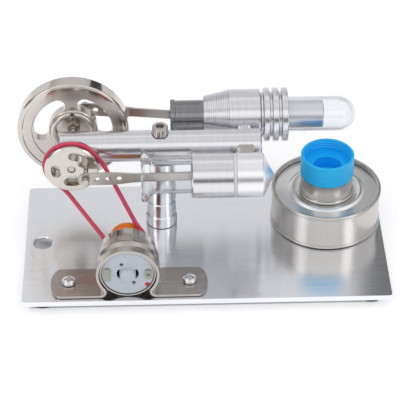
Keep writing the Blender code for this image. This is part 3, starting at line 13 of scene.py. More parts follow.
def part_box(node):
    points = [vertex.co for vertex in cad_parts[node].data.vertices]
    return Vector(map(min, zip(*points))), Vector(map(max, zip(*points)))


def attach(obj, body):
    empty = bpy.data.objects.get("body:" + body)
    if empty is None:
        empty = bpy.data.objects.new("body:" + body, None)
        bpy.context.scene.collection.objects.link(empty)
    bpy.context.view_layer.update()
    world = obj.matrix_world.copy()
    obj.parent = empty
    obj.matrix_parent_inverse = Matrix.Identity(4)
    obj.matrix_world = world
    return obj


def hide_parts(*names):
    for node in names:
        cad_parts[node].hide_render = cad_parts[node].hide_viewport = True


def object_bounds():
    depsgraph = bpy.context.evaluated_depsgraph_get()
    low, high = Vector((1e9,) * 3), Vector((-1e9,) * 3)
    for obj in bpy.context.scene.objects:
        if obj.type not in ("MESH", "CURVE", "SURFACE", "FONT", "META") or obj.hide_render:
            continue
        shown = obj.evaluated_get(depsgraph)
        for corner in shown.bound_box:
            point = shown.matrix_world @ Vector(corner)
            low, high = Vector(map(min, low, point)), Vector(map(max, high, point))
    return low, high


MM = 0.001

# Camera, measured from the crank joint
CAMERA_OFFSET = Vector((36.593, -637.002, 467.53)) * MM
CAMERA_FORWARD = Vector((0.023797, 0.787494, -0.615862))
CAMERA_YAW = 0.030
CAMERA_LENS = 162.42
CAMERA_SENSOR = 36
CAMERA_NEAR = 0.01

# Facets and edges
ROUND = 96
BIG_ROUND = 128
SMALL_ROUND = 40
EDGE = 0.14 * MM
FINE_EDGE = 0.07 * MM
EDGE_ANGLE = math.radians(28)
OVERCUT = 0.5 * MM
SAME_POINT = 1e-7
SLOT_STEPS = 20
CORNER_STEPS = 8

# Small turns of round cutters, so that their facets don't line up with those of the piece
TOOL_TURN = 0.02
SADDLE_TURN = 0.01
SHANK_TURN = 0.05
GRUB_TURN = 0.03

# Clearances of the CAD model that the fine pieces keep
GAP = 0.3 * MM
RUN = 0.2 * MM
PLAY = 0.2 * MM

# Base plate
PLATE_CORNER = 1.5 * MM
PLATE_HOLE = 8 * MM
PLATE_HOLE_CHAMFER = 0.5 * MM
PLATE_HOLE_INSET_X = 7.6 * MM
PLATE_HOLE_INSET_Y = 40.2 * MM
BRUSH_MAP = "brushing"
FOOT_ROUND = 0.15 * MM
FOOT_SPREAD = 0.75 * MM

# Column and beam
COLUMN_SHAFT = 12.9 * MM
COLUMN_FLANGE_HEIGHT = 5.5 * MM
COLUMN_RING_HEIGHT = 12 * MM
COLUMN_RING = 0.5 * MM
BEAM_CHAMFER = 0.6 * MM
CLAMP_HEAD_HEIGHT = 4.2 * MM
CLAMP_SHANK = 4 * MM
CLAMP_SEAT = 0.9 * MM
HEX_SOCKET = 3.4 * MM
HEX_SOCKET_DEPTH = 2.2 * MM

# Flywheel and crank disc
SHAFT = 3.2 * MM
WHEEL_HUB_FRONT = 1.9 * MM
WHEEL_RIM_FRONT = 2.8 * MM
WHEEL_ROUND = 1.1 * MM
WHEEL_ROUND_STEPS = 8
WHEEL_RIM = 6.6 * MM
WHEEL_STEP = 0.6 * MM
WHEEL_STEP_WIDTH = 4.2 * MM
WHEEL_RECESS = 1.1 * MM
WHEEL_BACK_RECESS = 2.05 * MM
WHEEL_HUB = 20.4 * MM
WHEEL_HUB_STEPS = 12
WHEEL_HUB_CUP = 15.2 * MM
WHEEL_HUB_CUP_DEPTH = 3.2 * MM
WHEEL_BOSS = 5.6 * MM
WHEEL_BOSS_DEPTH = 1 * MM
WHEEL_EDGE = 0.5 * MM
WHEEL_EDGE_STEPS = 4
WHEEL_CAST_RADIUS = 20.5 * MM
WHEEL_POLISH_RADIUS = 22.5 * MM
WHEEL_CAST_GLOSS = 0.27
WHEEL_RIM_GLOSS = 0.09
WHEEL_WINDOWS = 3
WHEEL_SPOKE = 5.4 * MM
WHEEL_TURN = 91.7
WINDOW_BORDER = 0.6 * MM
SET_SCREW = 2.2 * MM
DISC_FLANGE = 1.2 * MM
DISC_GROOVE_ROOT = 10.5 * MM
DISC_CHAMFER = 0.4 * MM
DISC_WINDOW_RADIUS = 6.9 * MM
DISC_WINDOW_WIDTH = 4 * MM
DISC_WINDOWS = ((36, 84), (176, 198), (256, 288))

# Belt, pulley and motor
BELT = 1.9 * MM
BELT_DISC_RADIUS = 11.75 * MM
BELT_PULLEY_RADIUS = 7.6 * MM
BELT_STRAIGHT_DISC = 0.20
BELT_STRAIGHT_PULLEY = 0.12
BELT_EASE = 0.07
BELT_SIDES = 20
BELT_WRAP_STEPS = 48
BELT_RUN_STEPS = 24
PULLEY_FLANGE = 0.8 * MM
PULLEY_ROOT = 6.35 * MM
MOTOR_SHAFT = 2 * MM
CAN_WALL = 0.8 * MM
CAN_ROUND = 1 * MM
CAN_BOSS = 6 * MM
CAN_BOSS_HEIGHT = 1.2 * MM
BELL_BOSS = 6.4 * MM
BELL_BOSS_HEIGHT = 1.8 * MM
BELL_BOSS_ROUND = 0.5 * MM
BELL_SLOT_RADIUS = 4.1 * MM
BELL_SLOT_WIDTH = 1.2 * MM
BELL_SLOT_SWEEP = 52
BELL_HOLE_RADIUS = 5.6 * MM
BELL_HOLE = 1.8 * MM
BELL_HOLE_ANGLE = 117
TERMINAL_EYE = 1.3 * MM
PAD_STRETCH = 1.4
PAINT_DOT_PLACE = Vector((8.3, 0, -5.9)) * MM
PAINT_DOT = 2.4 * MM

# Motor strap
STRAP_THICK = 1.1 * MM
STRAP_ARCH_WIDTH = 11 * MM
STRAP_FILLET = 1.8 * MM
STRAP_END_ROUND = 4.4 * MM
STRAP_RIB_HEIGHT = 0.9 * MM
STRAP_RIB_WIDTH = 3.4 * MM
STRAP_ACROSS = 22
STRAP_END_STEPS = 10
STRAP_BEND_STEPS = 8
STRAP_ARCH_STEPS = 64
STRAP_TIP = 0.12
SCREW_SHANK = 2.8 * MM
SCREW_EDGE = 0.7 * MM
CROSS_SLOT = 0.9 * MM
CROSS_LENGTH = 3.6 * MM
CROSS_DEPTH = 1.1 * MM
SCREW_HEAD_HEIGHT = 1.9 * MM
SCREW_DOME_STEPS = 10

# Rods and pins
ROD_TAPER_START = 12 * MM
ROD_TAPER_END = 22 * MM
ROD_BIG_END = 6.2 * MM
ROD_SMALL_END = 4.2 * MM
ROD_HOLE = 2.4 * MM
ROD_HOLE_COUNT = 3
ROD_HOLE_PITCH = 4.8 * MM
ROD_END_STEPS = 24
CRANK_PIN = 2.2 * MM
CRANK_PIN_HEAD_LENGTH = 2.6 * MM
WRIST_PIN = 2 * MM
ROD_SLOT = 2.6 * MM
SLOT_DEPTH = 5.1 * MM

# Cylinders
GLASS_OUTER = 15 * MM
GLASS_INNER = 13.2 * MM
GLASS_LIP = 6 * MM
GLASS_LIP_MOUTH = 17 * MM
GLASS_LIP_STEPS = 14
BARREL_CHAMFER = 0.7 * MM
SEAL_SQUEEZE = 0.25 * MM
HEAD_CONE = 4.3 * MM
HEAD_TIP = 0.8 * MM
HEAD_BORE = 8 * MM
SLEEVE_BORE = 11 * MM
SLEEVE_OUTER = 14 * MM
SLEEVE_COLLAR = 2.3 * MM
BODY_CONE = 11.6 * MM
BODY_CONE_START = 18 * MM
BODY_GROOVE = 0.36 * MM
BODY_GROOVES = 15
FIN_COUNT = 3
FIN_THICK = 2.8 * MM
FIN_SLOT = 1.25 * MM
FIN_SLOT_DEPTH = 1.9 * MM
HOT_OUTER = 15.6 * MM
HOT_INNER = 13.8 * MM
HOT_SEAT = 9 * MM
DOME_STEPS = 24
NUT_CHAMFER = 0.5 * MM

# Burner
TIN_WALL = 0.8 * MM
TIN_SIDE = 48.2 * MM
SEAM_WIDTH = 1.6 * MM
SEAM_HEIGHT = 1.8 * MM
SEAM_STEPS = 10
TIN_FOOT = 1.3 * MM
LID_SHEET = 0.8 * MM
LID_BEAD_RADIUS = 15.2 * MM
LID_BEAD_WIDTH = 3.6 * MM
LID_BEAD_HEIGHT = 0.7 * MM
LID_BEAD_STEPS = 10
NECK_SIDE = 23 * MM
NECK_BORE = 15 * MM
NECK_PLUG = 18.2 * MM
NECK_FLANGE_HEIGHT = 1.1 * MM
NECK_STEPS = 6
CAP_PLUG = 3 * MM
CAP_PLUG_SIDE = 14.6 * MM
CAP_WALL = 1.3 * MM
CAP_FLOOR = -1.4 * MM
CAP_LEDGE = 4.2 * MM
CAP_WELL = 12.6 * MM
CAP_THREADS = 3
CAP_THREAD = 0.35 * MM
CAP_THREAD_PITCH = 1.2 * MM
CAP_THREAD_FIRST = 1.44 * MM

# Looks: colours where the noise is low and high, range of roughness, scale of the noise, bump, stretch
NOISE_LOW = 0.3
NOISE_HIGH = 0.7
NOISE_DETAIL = 4
NOISE_ROUGHNESS = 0.6
METAL_RELIEF = 0.02 * MM
SKIN_RELIEF = 0.03 * MM
EVEN = (1, 1, 1)
TURNED = (1, 0.03, 0.03)
METALS = {
    "brushed_plate": ((0.86, 0.87, 0.90), (0.91, 0.92, 0.95), (0.15, 0.20), 1500, 0, (0.02, 1, 1)),
    "aluminium": ((0.70, 0.70, 0.72), (0.78, 0.78, 0.80), (0.19, 0.26), 3000, 0.06, TURNED),
    "satin_aluminium": ((0.87, 0.87, 0.88), (0.93, 0.93, 0.94), (0.27, 0.34), 3000, 0.06, TURNED),
    "nickel": ((0.62, 0.58, 0.54), (0.68, 0.64, 0.60), (0.09, 0.15), 260, 0.03),
    "wheel_nickel": ((0.61, 0.57, 0.53), (0.69, 0.65, 0.61), None, 1400, 0.08),
    "chrome": ((0.50, 0.47, 0.44), (0.56, 0.53, 0.50), (0.08, 0.15), 320, 0.04, (1, 0.2, 1)),
    "strap_chrome": ((0.46, 0.43, 0.40), (0.53, 0.50, 0.47), (0.22, 0.28), 900, 0.03, (0.1, 1, 1)),
    "rod_steel": ((0.50, 0.47, 0.44), (0.57, 0.54, 0.51), (0.26, 0.34), 1500, 0.05, (0.05, 1, 1)),
    "dark_steel": ((0.24, 0.24, 0.25), (0.28, 0.28, 0.29), (0.16, 0.22), 600, 0.02, (1, 0.05, 0.05)),
    "brass": ((0.68, 0.52, 0.25), (0.78, 0.62, 0.32), (0.2, 0.35), 1500, 0.08, (1, 0.1, 0.1)),
    "solder_tag": ((0.30, 0.31, 0.25), (0.40, 0.41, 0.34), (0.35, 0.5), 700, 0.08),
    "tin_plate": ((0.57, 0.55, 0.52), (0.60, 0.58, 0.55), (0.25, 0.27), 120, 0.01, (1, 1, 0.3)),
    "lid_plate": ((0.84, 0.84, 0.83), (0.88, 0.88, 0.87), (0.27, 0.29), 120, 0.01),
    "displacer_grey": ((0.94, 0.94, 0.95), (0.97, 0.97, 0.98), (0.42, 0.50), 900, 0.03, (1, 0.1, 0.1)),
    "zinc": ((0.72, 0.72, 0.73), (0.80, 0.80, 0.81), (0.10, 0.16), 500, 0.02),
}
MOULDINGS = {
    "black_rubber": ((0.018, 0.018, 0.018), (0.04, 0.04, 0.04), (0.6, 0.8), 800, 0.3),
    "red_rubber": ((0.62, 0.035, 0.09), (0.76, 0.07, 0.14), (0.32, 0.44), 700, 0.1),
    "orange_plastic": ((0.80, 0.21, 0.02), (0.88, 0.27, 0.04), (0.34, 0.45), 600, 0.1),
    "blue_plastic": ((0.006, 0.49, 0.96), (0.009, 0.53, 1), (0.36, 0.46), 500, 0.05),
    "grey_seal": ((0.74, 0.74, 0.75), (0.82, 0.82, 0.83), (0.3, 0.4), 900, 0.1),
    "grey_plastic": ((0.55, 0.60, 0.65), (0.63, 0.68, 0.73), (0.38, 0.5), 900, 0.1),
    "cotton": ((0.72, 0.68, 0.60), (0.88, 0.85, 0.78), (0.85, 0.95), 1500, 0.6),
}
PLATE_BRUSHING = 0.85
PAINT_COLOUR = (0.55, 0.03, 0.05, 1)
MIX_COLOUR_A = 6
MIX_COLOUR_B = 7
MIX_COLOUR_RESULT = 2
GLASS_IOR = 1.46
GLASS_STRETCH = (0.2, 1, 1)
GLASS_GRAIN = 300
GLASS_ROUGHNESS = (0, 0.03)
GLASS_BLEND = 0.3
# Glass colour by how squarely it is seen: blue-grey along the wall, darkened at the edges as painted shade
GLASS_TINT_AND_EDGE_SHADE = ((0.25, (0.95, 0.955, 0.97)), (0.66, (0.38, 0.42, 0.47)))

# Studio: places are offsets from the middle of the object's stand
FLOOR_SIZE = 3
FLOOR_DROP = 0.2 * MM
WHITE = (1, 1, 1, 1)
FLOOR_COLOUR = (0.86, 0.86, 0.87, 1)
FLOOR_ROUGHNESS = 0.9
FLOOR_GLOW = 0.36
BACKDROP_PLACE = 1.2
BACKDROP_HEIGHT = 0.6
UNDER_PLATE = 0.93
FLAG_SHADE = 0.10
FLAG_SIZE = (0.30, 0.50)
FLAG_CORNER = 0.02
FLAG_PLACE = Vector((0.295, 0.50, 0.47))
OBJECT_MIDDLE = 0.03
WORLD_STEPS = ((0, 0.70), (0.49, 0.40), (0.52, 0.10), (0.60, 0.15), (0.68, 0.46), (0.76, 0.73),
               (0.88, 0.74), (0.96, 0.70), (0.985, 0.42), (1, 0.36))
WORLD_BLUE = 1.02
SOFTBOXES = (
    ("overhead", (0, 0.05, 0.85), (1.3, 0.7), 1.2),
    ("front", (0, -0.80, 0.66), (1, 0.6), 0.8),
    ("front_left", (-0.75, -0.65, 0.45), (0.35, 0.6), 1.3),
    ("front_right", (0.75, -0.65, 0.45), (0.35, 0.6), 1.3),
)

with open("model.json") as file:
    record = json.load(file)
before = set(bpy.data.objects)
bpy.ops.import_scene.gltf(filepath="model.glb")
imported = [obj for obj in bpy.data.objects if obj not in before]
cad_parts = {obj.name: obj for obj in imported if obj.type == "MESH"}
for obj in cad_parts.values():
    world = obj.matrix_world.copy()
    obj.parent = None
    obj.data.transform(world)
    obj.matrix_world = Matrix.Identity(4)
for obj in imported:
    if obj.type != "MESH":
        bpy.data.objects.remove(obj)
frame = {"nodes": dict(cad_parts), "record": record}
cad_low, cad_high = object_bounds()
RECORD = frame["record"]
BODY_OF = {node: body for body, nodes in RECORD["behaviour"]["bodies"].items() for node in nodes}
SLOT_OF = {entry["node"]: entry["material_slot"] for entry in RECORD["subparts"]}
JOINTS = RECORD["behaviour"]["joints"]
JOINT_PLACE = {joint["name"]: Vector(joint["pos_m"]) for joint in JOINTS if "pos_m" in joint}
CRANK = JOINT_PLACE["crank_spin"]
MOTOR = JOINT_PLACE["rotor_spin"]
STAGE = Vector(((cad_low[0] + cad_high[0]) / 2, (cad_low[1] + cad_high[1]) / 2, cad_low[2]))
# Each axis with the matrix that takes (first across, second across, along) to X, Y and Z
AXES = {
    "X": Matrix(((0, 0, 1), (1, 0, 0), (0, 1, 0))),
    "Y": Matrix(((0, 1, 0), (0, 0, 1), (1, 0, 0))),
    "Z": Matrix.Identity(3),
}


# Materials

def link(tree, source, output, target, socket):
    tree.links.new(source.outputs[output], target.inputs[socket])


def with_values(node, values):
    """Set a node's sockets; an underscore stands for a space in a socket's name."""
    for name, value in values.items():
        node.inputs[name.replace("_", " ")].default_value = value
    return node


def add_node(tree, kind, **values):
    return with_values(tree.nodes.new("ShaderNode" + kind), values)


def computed(tree, kind, operation, *inputs):
    """The result of a Math or VectorMath node, whose inputs are other results or plain values."""
    node = add_node(tree, kind)
    node.operation = operation
    for socket, value in zip(node.inputs, inputs):
        if isinstance(value, bpy.types.NodeSocket):
            tree.links.new(value, socket)
        else:
            socket.default_value = value
    return node.outputs["Value" if kind == "Math" or operation in ("LENGTH", "DISTANCE") else "Vector"]


def ramp_of(tree, source, output, steps):
    """A colour ramp with the given colour at each of its steps."""
    ramp = add_node(tree, "ValToRGB")
    elements = ramp.color_ramp.elements
    for index, (position, colour) in enumerate(steps):
        element = elements[index] if index < len(elements) else elements.new(position)
        element.position = position
        element.color = (*colour, 1)
    link(tree, source, output, ramp, "Fac")
    return ramp


def principled(name, **values):
    material = bpy.data.materials.new(name)
    material.use_nodes = True
    tree = material.node_tree
    return material, tree, with_values(tree.nodes["Principled BSDF"], values)


def streaks(tree, stretch, scale):
    """Noise pulled out along one direction, for brushing, turning marks or moulding flow."""
    place = add_node(tree, "TexCoord")
    mapping = add_node(tree, "Mapping", Scale=stretch)
    noise = add_node(tree, "TexNoise", Scale=scale, Detail=NOISE_DETAIL, Roughness=NOISE_ROUGHNESS)
    link(tree, place, "Object", mapping, "Vector")
    link(tree, mapping, "Vector", noise, "Vector")
    return noise


def roughen(tree, shader, marks, rough):
    """Spread the marks' noise over a range of roughness."""
    low, high = rough
    spread = add_node(tree, "MapRange", From_Min=NOISE_LOW, From_Max=NOISE_HIGH, To_Min=low, To_Max=high)
    link(tree, marks, "Fac", spread, "Value")
    link(tree, spread, "Result", shader, "Roughness")


def surfaced(name, metallic, relief, dark, light, rough, scale, bump, stretch=EVEN):
    """A surface whose colour, roughness and fine relief follow the marks of its working."""
    material, tree, shader = principled(name, Metallic=metallic)
    marks = streaks(tree, stretch, scale)
    colour = ramp_of(tree, marks, "Fac", ((NOISE_LOW, dark), (NOISE_HIGH, light)))
    link(tree, colour, "Color", shader, "Base Color")
    if rough:
        roughen(tree, shader, marks, rough)
    if bump:
        lift = add_node(tree, "Bump", Strength=bump, Distance=relief)
        link(tree, marks, "Fac", lift, "Height")
        link(tree, lift, "Normal", shader, "Normal")
    return material


def brush_sheet(tree, shader):
    """Brush a polished sheet from left to right, so that reflections smear towards the viewer."""
    shader.inputs["Anisotropic"].default_value = PLATE_BRUSHING
    grain = add_node(tree, "Tangent")
    grain.direction_type = "UV_MAP"
    grain.uv_map = BRUSH_MAP
    link(tree, grain, "Tangent", shader, "Tangent")


def polish_rim(tree, shader):
    """Leave the wheel's web and hub rough as cast, and polish its rim."""
    place = add_node(tree, "TexCoord").outputs["Object"]
    across = computed(tree, "VectorMath", "MULTIPLY", place, (1, 0, 1))
    polish = add_node(tree, "MapRange", From_Min=WHEEL_CAST_RADIUS, From_Max=WHEEL_POLISH_RADIUS,
                      To_Min=WHEEL_CAST_GLOSS, To_Max=WHEEL_RIM_GLOSS)
    tree.links.new(computed(tree, "VectorMath", "LENGTH", across), polish.inputs["Value"])
    link(tree, polish, "Result", shader, "Roughness")


def paint_dot(tree, shader):
    """Paint one dot near the lower right edge of the motor's face."""
    place = add_node(tree, "TexCoord").outputs["Object"]
    reach = computed(tree, "VectorMath", "DISTANCE", place, PAINT_DOT_PLACE)
    paint = add_node(tree, "Mix")
    paint.data_type = "RGBA"
    base = shader.inputs["Base Color"]
    tree.links.new(computed(tree, "Math", "LESS_THAN", reach, PAINT_DOT / 2), paint.inputs["Factor"])
    tree.links.new(base.links[0].from_socket, paint.inputs[MIX_COLOUR_A])
    paint.inputs[MIX_COLOUR_B].default_value = PAINT_COLOUR
    tree.links.new(paint.outputs[MIX_COLOUR_RESULT], base)


def drawn_glass():
    """Clear tube, a little blue-grey where it is seen along its wall, and darker there as painted edge shade.
    """
    material, tree, shader = principled("glass", Transmission_Weight=1, IOR=GLASS_IOR)
    roughen(tree, shader, streaks(tree, GLASS_STRETCH, GLASS_GRAIN), GLASS_ROUGHNESS)
    # Painted shade: the glass's colour darkens where it is seen edge-on
    edge = add_node(tree, "LayerWeight", Blend=GLASS_BLEND)
    link(tree, ramp_of(tree, edge, "Facing", GLASS_TINT_AND_EDGE_SHADE), "Color", shader, "Base Color")
    return material


def make_materials():
    """One material for each slot of the record, and finer ones for single pieces."""
    materials = {"glass": drawn_glass()}
    for looks, metallic, relief in ((METALS, 1, METAL_RELIEF), (MOULDINGS, 0, SKIN_RELIEF)):
        for name, look in looks.items():
            materials[name] = surfaced(name, metallic, relief, *look)
    works = {"brushed_plate": brush_sheet, "wheel_nickel": polish_rim, "grey_plastic": paint_dot}
    for name, work in works.items():
        tree = materials[name].node_tree
        work(tree, tree.nodes["Principled BSDF"])
    return materials


MATERIALS = make_materials()


# Meshes

def put_in_scene(name, builder):
    bmesh.ops.remove_doubles(builder, verts=builder.verts, dist=SAME_POINT)
    bmesh.ops.recalc_face_normals(builder, faces=builder.faces)
    mesh = bpy.data.meshes.new(name)
    builder.to_mesh(mesh)
    builder.free()
    piece = bpy.data.objects.new(name, mesh)
    bpy.context.scene.collection.objects.link(piece)
    return piece


def bridge(builder, rings, closed=True):
    """Faces from each ring of corners to the next; a ring on an axis is a single corner."""
    for first, second in zip(rings, rings[1:] + (rings[:1] if closed else [])):
        count = max(len(first), len(second))
        for step in range(count if count > 1 else 0):
            after = (step + 1) % count
            corners = [first[step % len(first)], first[after % len(first)],
                       second[after % len(second)], second[step % len(second)]]
            builder.faces.new(list(dict.fromkeys(corners)))


def revolve(axis, profile, segments, turn=0):
    """Turn a closed outline of (distance along the axis, radius) points about an axis."""
    builder = bmesh.new()
    rings = []
    for along, radius in profile:
        ring = []
        for step in range(segments if radius > 0 else 1):
            angle = 2 * math.pi * step / segments + turn
            point = Vector((radius * math.cos(angle), radius * math.sin(angle), along))
            ring.append(builder.verts.new(AXES[axis] @ point))
        rings.append(ring)
    bridge(builder, rings)
    return builder


def extrude(axis, outline, start, end):
    """Pull a flat outline along an axis; its two numbers run along the next two axes in turn."""
    builder = bmesh.new()
    caps = []
    for level in (start, end):
        caps.append([builder.verts.new(AXES[axis] @ Vector((u, v, level))) for u, v in outline])
    for cap in caps:
        builder.faces.new(cap)
    bridge(builder, caps, closed=False)
    return builder


def moved(builder, offset):
    builder.transform(Matrix.Translation(offset))
    return builder


def bar(start, end, radius):
    return [(start, 0), (start, radius), (end, radius), (end, 0)]


def both_ends(length, points):
    """An outline that runs from one end of a turned piece and is the same from its other end."""
    return points + [(length - along, radius) for along, radius in reversed(points)]


def chamfered(length, radius, chamfer):
    return both_ends(length, [(0, 0), (0, radius - chamfer), (chamfer, radius)])


def drill(axis, start, end, radius, place=(0, 0, 0), turn=TOOL_TURN, segments=SMALL_ROUND):
    """A round cutter along an axis, moved to its place in the piece."""
    return moved(revolve(axis, bar(start, end, radius), segments, turn), Vector(place))


def polar(radius, degrees):
    angle = math.radians(degrees)
    return radius * math.cos(angle), radius * math.sin(angle)


def arc(centre, radius, start, end, steps):
    points = []
    for step in range(steps + 1):
        u, v = polar(radius, start + (end - start) * step / steps)
        points.append((centre[0] + u, centre[1] + v))
    return points


def rounded_box(length, width, corner):
    outline = []
    for side, (sign_u, sign_v) in enumerate(((1, 1), (-1, 1), (-1, -1), (1, -1))):
        centre = (sign_u * (length / 2 - corner), sign_v * (width / 2 - corner))
        outline += arc(centre, corner, 90 * side, 90 * side + 90, CORNER_STEPS)
    return outline


def hexagon(flats):
    return arc((0, 0), flats / math.sqrt(3), 0, 300, 5)


def swapped(outline):
    """An outline drawn as X and Z, in the order that pulling along Y needs."""
    return [(v, u) for u, v in outline]


def kidney(radius, width, start, end, front, back):
    """A cutter along Y for a round-ended slot that is bent along an arc."""
    half = width / 2
    outline = arc((0, 0), radius + half, start, end, SLOT_STEPS)
    outline += arc(polar(radius, end), half, end, end + 180, SLOT_STEPS)[1:-1]
    outline += arc((0, 0), radius - half, end, start, SLOT_STEPS)
    outline += arc(polar(radius, start), half, start + 180, start + 360, SLOT_STEPS)[1:-1]
    return extrude("Y", swapped(outline), front - OVERCUT, back + OVERCUT)


def carve(piece, builders):
    """Cut shapes out of a piece and keep the plain result."""
    tools = []
    for builder in builders:
        tool = put_in_scene(piece.name + "_tool", builder)
        tool.location = piece.location
        boolean = piece.modifiers.new("cut", "BOOLEAN")
        boolean.operation = "DIFFERENCE"
        boolean.solver = "EXACT"
        boolean.object = tool
        tools.append(tool)
    bpy.context.view_layer.update()
    graph = bpy.context.evaluated_depsgraph_get()
    result = bpy.data.meshes.new_from_object(piece.evaluated_get(graph))
    piece.modifiers.clear()
    piece.data = result
    for tool in tools:
        bpy.data.objects.remove(tool, do_unlink=True)


class Place:
    """A node's box read as a turned piece: its start and end along an axis, its radius and its axis line."""

    def __init__(self, node, axis):
        self.node = node
        self.axis = axis
        self.low, self.high = [Vector(corner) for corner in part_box(node)]
        self.size = self.high - self.low
        self.middle = (self.low + self.high) / 2
        index = "XYZ".index(axis)
        self.length = self.size[index]
        self.radius = max(self.size[side] for side in range(3) if side != index) / 2
        self.origin = self.middle.copy()
        self.origin[index] = self.low[index]

    def along(self, x):
        """A point of the axis line, given by its X, as the piece itself counts it."""
        return Vector((x - self.origin.x, 0, 0))


def made(spot, builder, edge=EDGE, material=None, cuts=(), edge_steps=2):
    """Put a piece in its place, cut it, round its edges and let it stand for its CAD node."""
    node = spot.node
    piece = put_in_scene("fine_" + node, builder)
    piece.location = spot.origin
    if cuts:
        carve(piece, cuts)
    piece.data.materials.clear()
    piece.data.materials.append(MATERIALS[material or SLOT_OF[node]])
    piece.data.shade_smooth()
    if edge > 0:
        bevel = piece.modifiers.new("soft_edges", "BEVEL")
        bevel.width = edge
        bevel.segments = edge_steps
        bevel.limit_method = "ANGLE"
        bevel.angle_limit = EDGE_ANGLE
        normals = piece.modifiers.new("face_normals", "WEIGHTED_NORMAL")
        normals.keep_sharp = True
    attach(piece, BODY_OF[node])
    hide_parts(node)
    return piece


def turned(spot, profile, segments=ROUND, edge=EDGE, material=None, cuts=(), edge_steps=2):
    return made(spot, revolve(spot.axis, profile, segments), edge, material, cuts, edge_steps)


def stud_hole(spot, start, end):
    """The hole across a piece for the stud that joins both cylinders."""
    stud = Place("transfer_tube", "Y")
    return drill("Y", start, end, stud.radius + PLAY, spot.along(stud.middle.x))


# Base

def dress_base():
    spot = Place("base_plate", "Z")
    size = spot.size
    hole = PLATE_HOLE / 2
    wide = hole + PLATE_HOLE_CHAMFER + OVERCUT
    profile = [(-OVERCUT, 0), (-OVERCUT, hole), (size.z - PLATE_HOLE_CHAMFER, hole),
               (size.z + OVERCUT, wide), (size.z + OVERCUT, 0)]
    hole_place = Vector((PLATE_HOLE_INSET_X - size.x / 2, PLATE_HOLE_INSET_Y - size.y / 2, 0))
    sheet = extrude("Z", rounded_box(size.x, size.y, PLATE_CORNER), 0, size.z)
    plate = made(spot, sheet, 2 * EDGE, cuts=[moved(revolve("Z", profile, ROUND), hole_place)])
    brushing = plate.data.uv_layers.new(name=BRUSH_MAP)
    for loop in plate.data.loops:
        point = plate.data.vertices[loop.vertex_index].co
        brushing.data[loop.index].uv = ((point.y + point.z) / size.x, point.x / size.x)
    for corner in ("front_left", "front_right", "back_left", "back_right"):
        foot = Place("foot_" + corner, "Z")
        turned(foot, chamfered(foot.length, foot.radius + FOOT_SPREAD, FOOT_ROUND), SMALL_ROUND)


def dress_column_and_beam():
    spot = Place("column", "Z")
    beam = Place("beam", "X")
    radius = beam.radius
    shaft = COLUMN_SHAFT / 2
    ring = COLUMN_RING_HEIGHT
    profile = [(0, 0), (0, spot.radius), (COLUMN_FLANGE_HEIGHT - COLUMN_RING, spot.radius),
               (COLUMN_FLANGE_HEIGHT, shaft), (ring, shaft), (ring + COLUMN_RING, shaft - COLUMN_RING),
               (ring + 2 * COLUMN_RING, shaft), (spot.length, shaft), (spot.length, 0)]
    rise = (0, 0, beam.middle.z - spot.origin.z)
    turned(spot, profile, cuts=[drill("X", -2 * shaft, 2 * shaft, radius + GAP, rise, SADDLE_TURN, ROUND)])

    bush = Place("crank_bush_front", "Y")
    screw = Place("beam_clamp_screw", "Z")
    at_screw = beam.along(screw.middle.x)
    reach = 2 * radius
    cuts = [drill("Y", -reach, reach, bush.radius + PLAY, beam.along(CRANK.x)),
            drill("Z", radius - CLAMP_SEAT, reach, screw.radius + GAP, at_screw),
            drill("Z", -reach, reach, CLAMP_SHANK / 2 + PLAY, at_screw, SHANK_TURN),
            stud_hole(beam, -reach, reach)]
    turned(beam, chamfered(beam.length, radius, BEAM_CHAMFER), cuts=cuts)

    top = screw.length
    head = top - CLAMP_HEAD_HEIGHT
    half = CLAMP_SHANK / 2
    profile = [(0, 0), (0, half), (head, half), (head, screw.radius), (top - GAP, screw.radius),
               (top, screw.radius - GAP), (top, 0)]
    socket = extrude("Z", hexagon(HEX_SOCKET), top - HEX_SOCKET_DEPTH, top + OVERCUT)
    turned(screw, profile, SMALL_ROUND, FINE_EDGE, "chrome", [socket])


# Crank

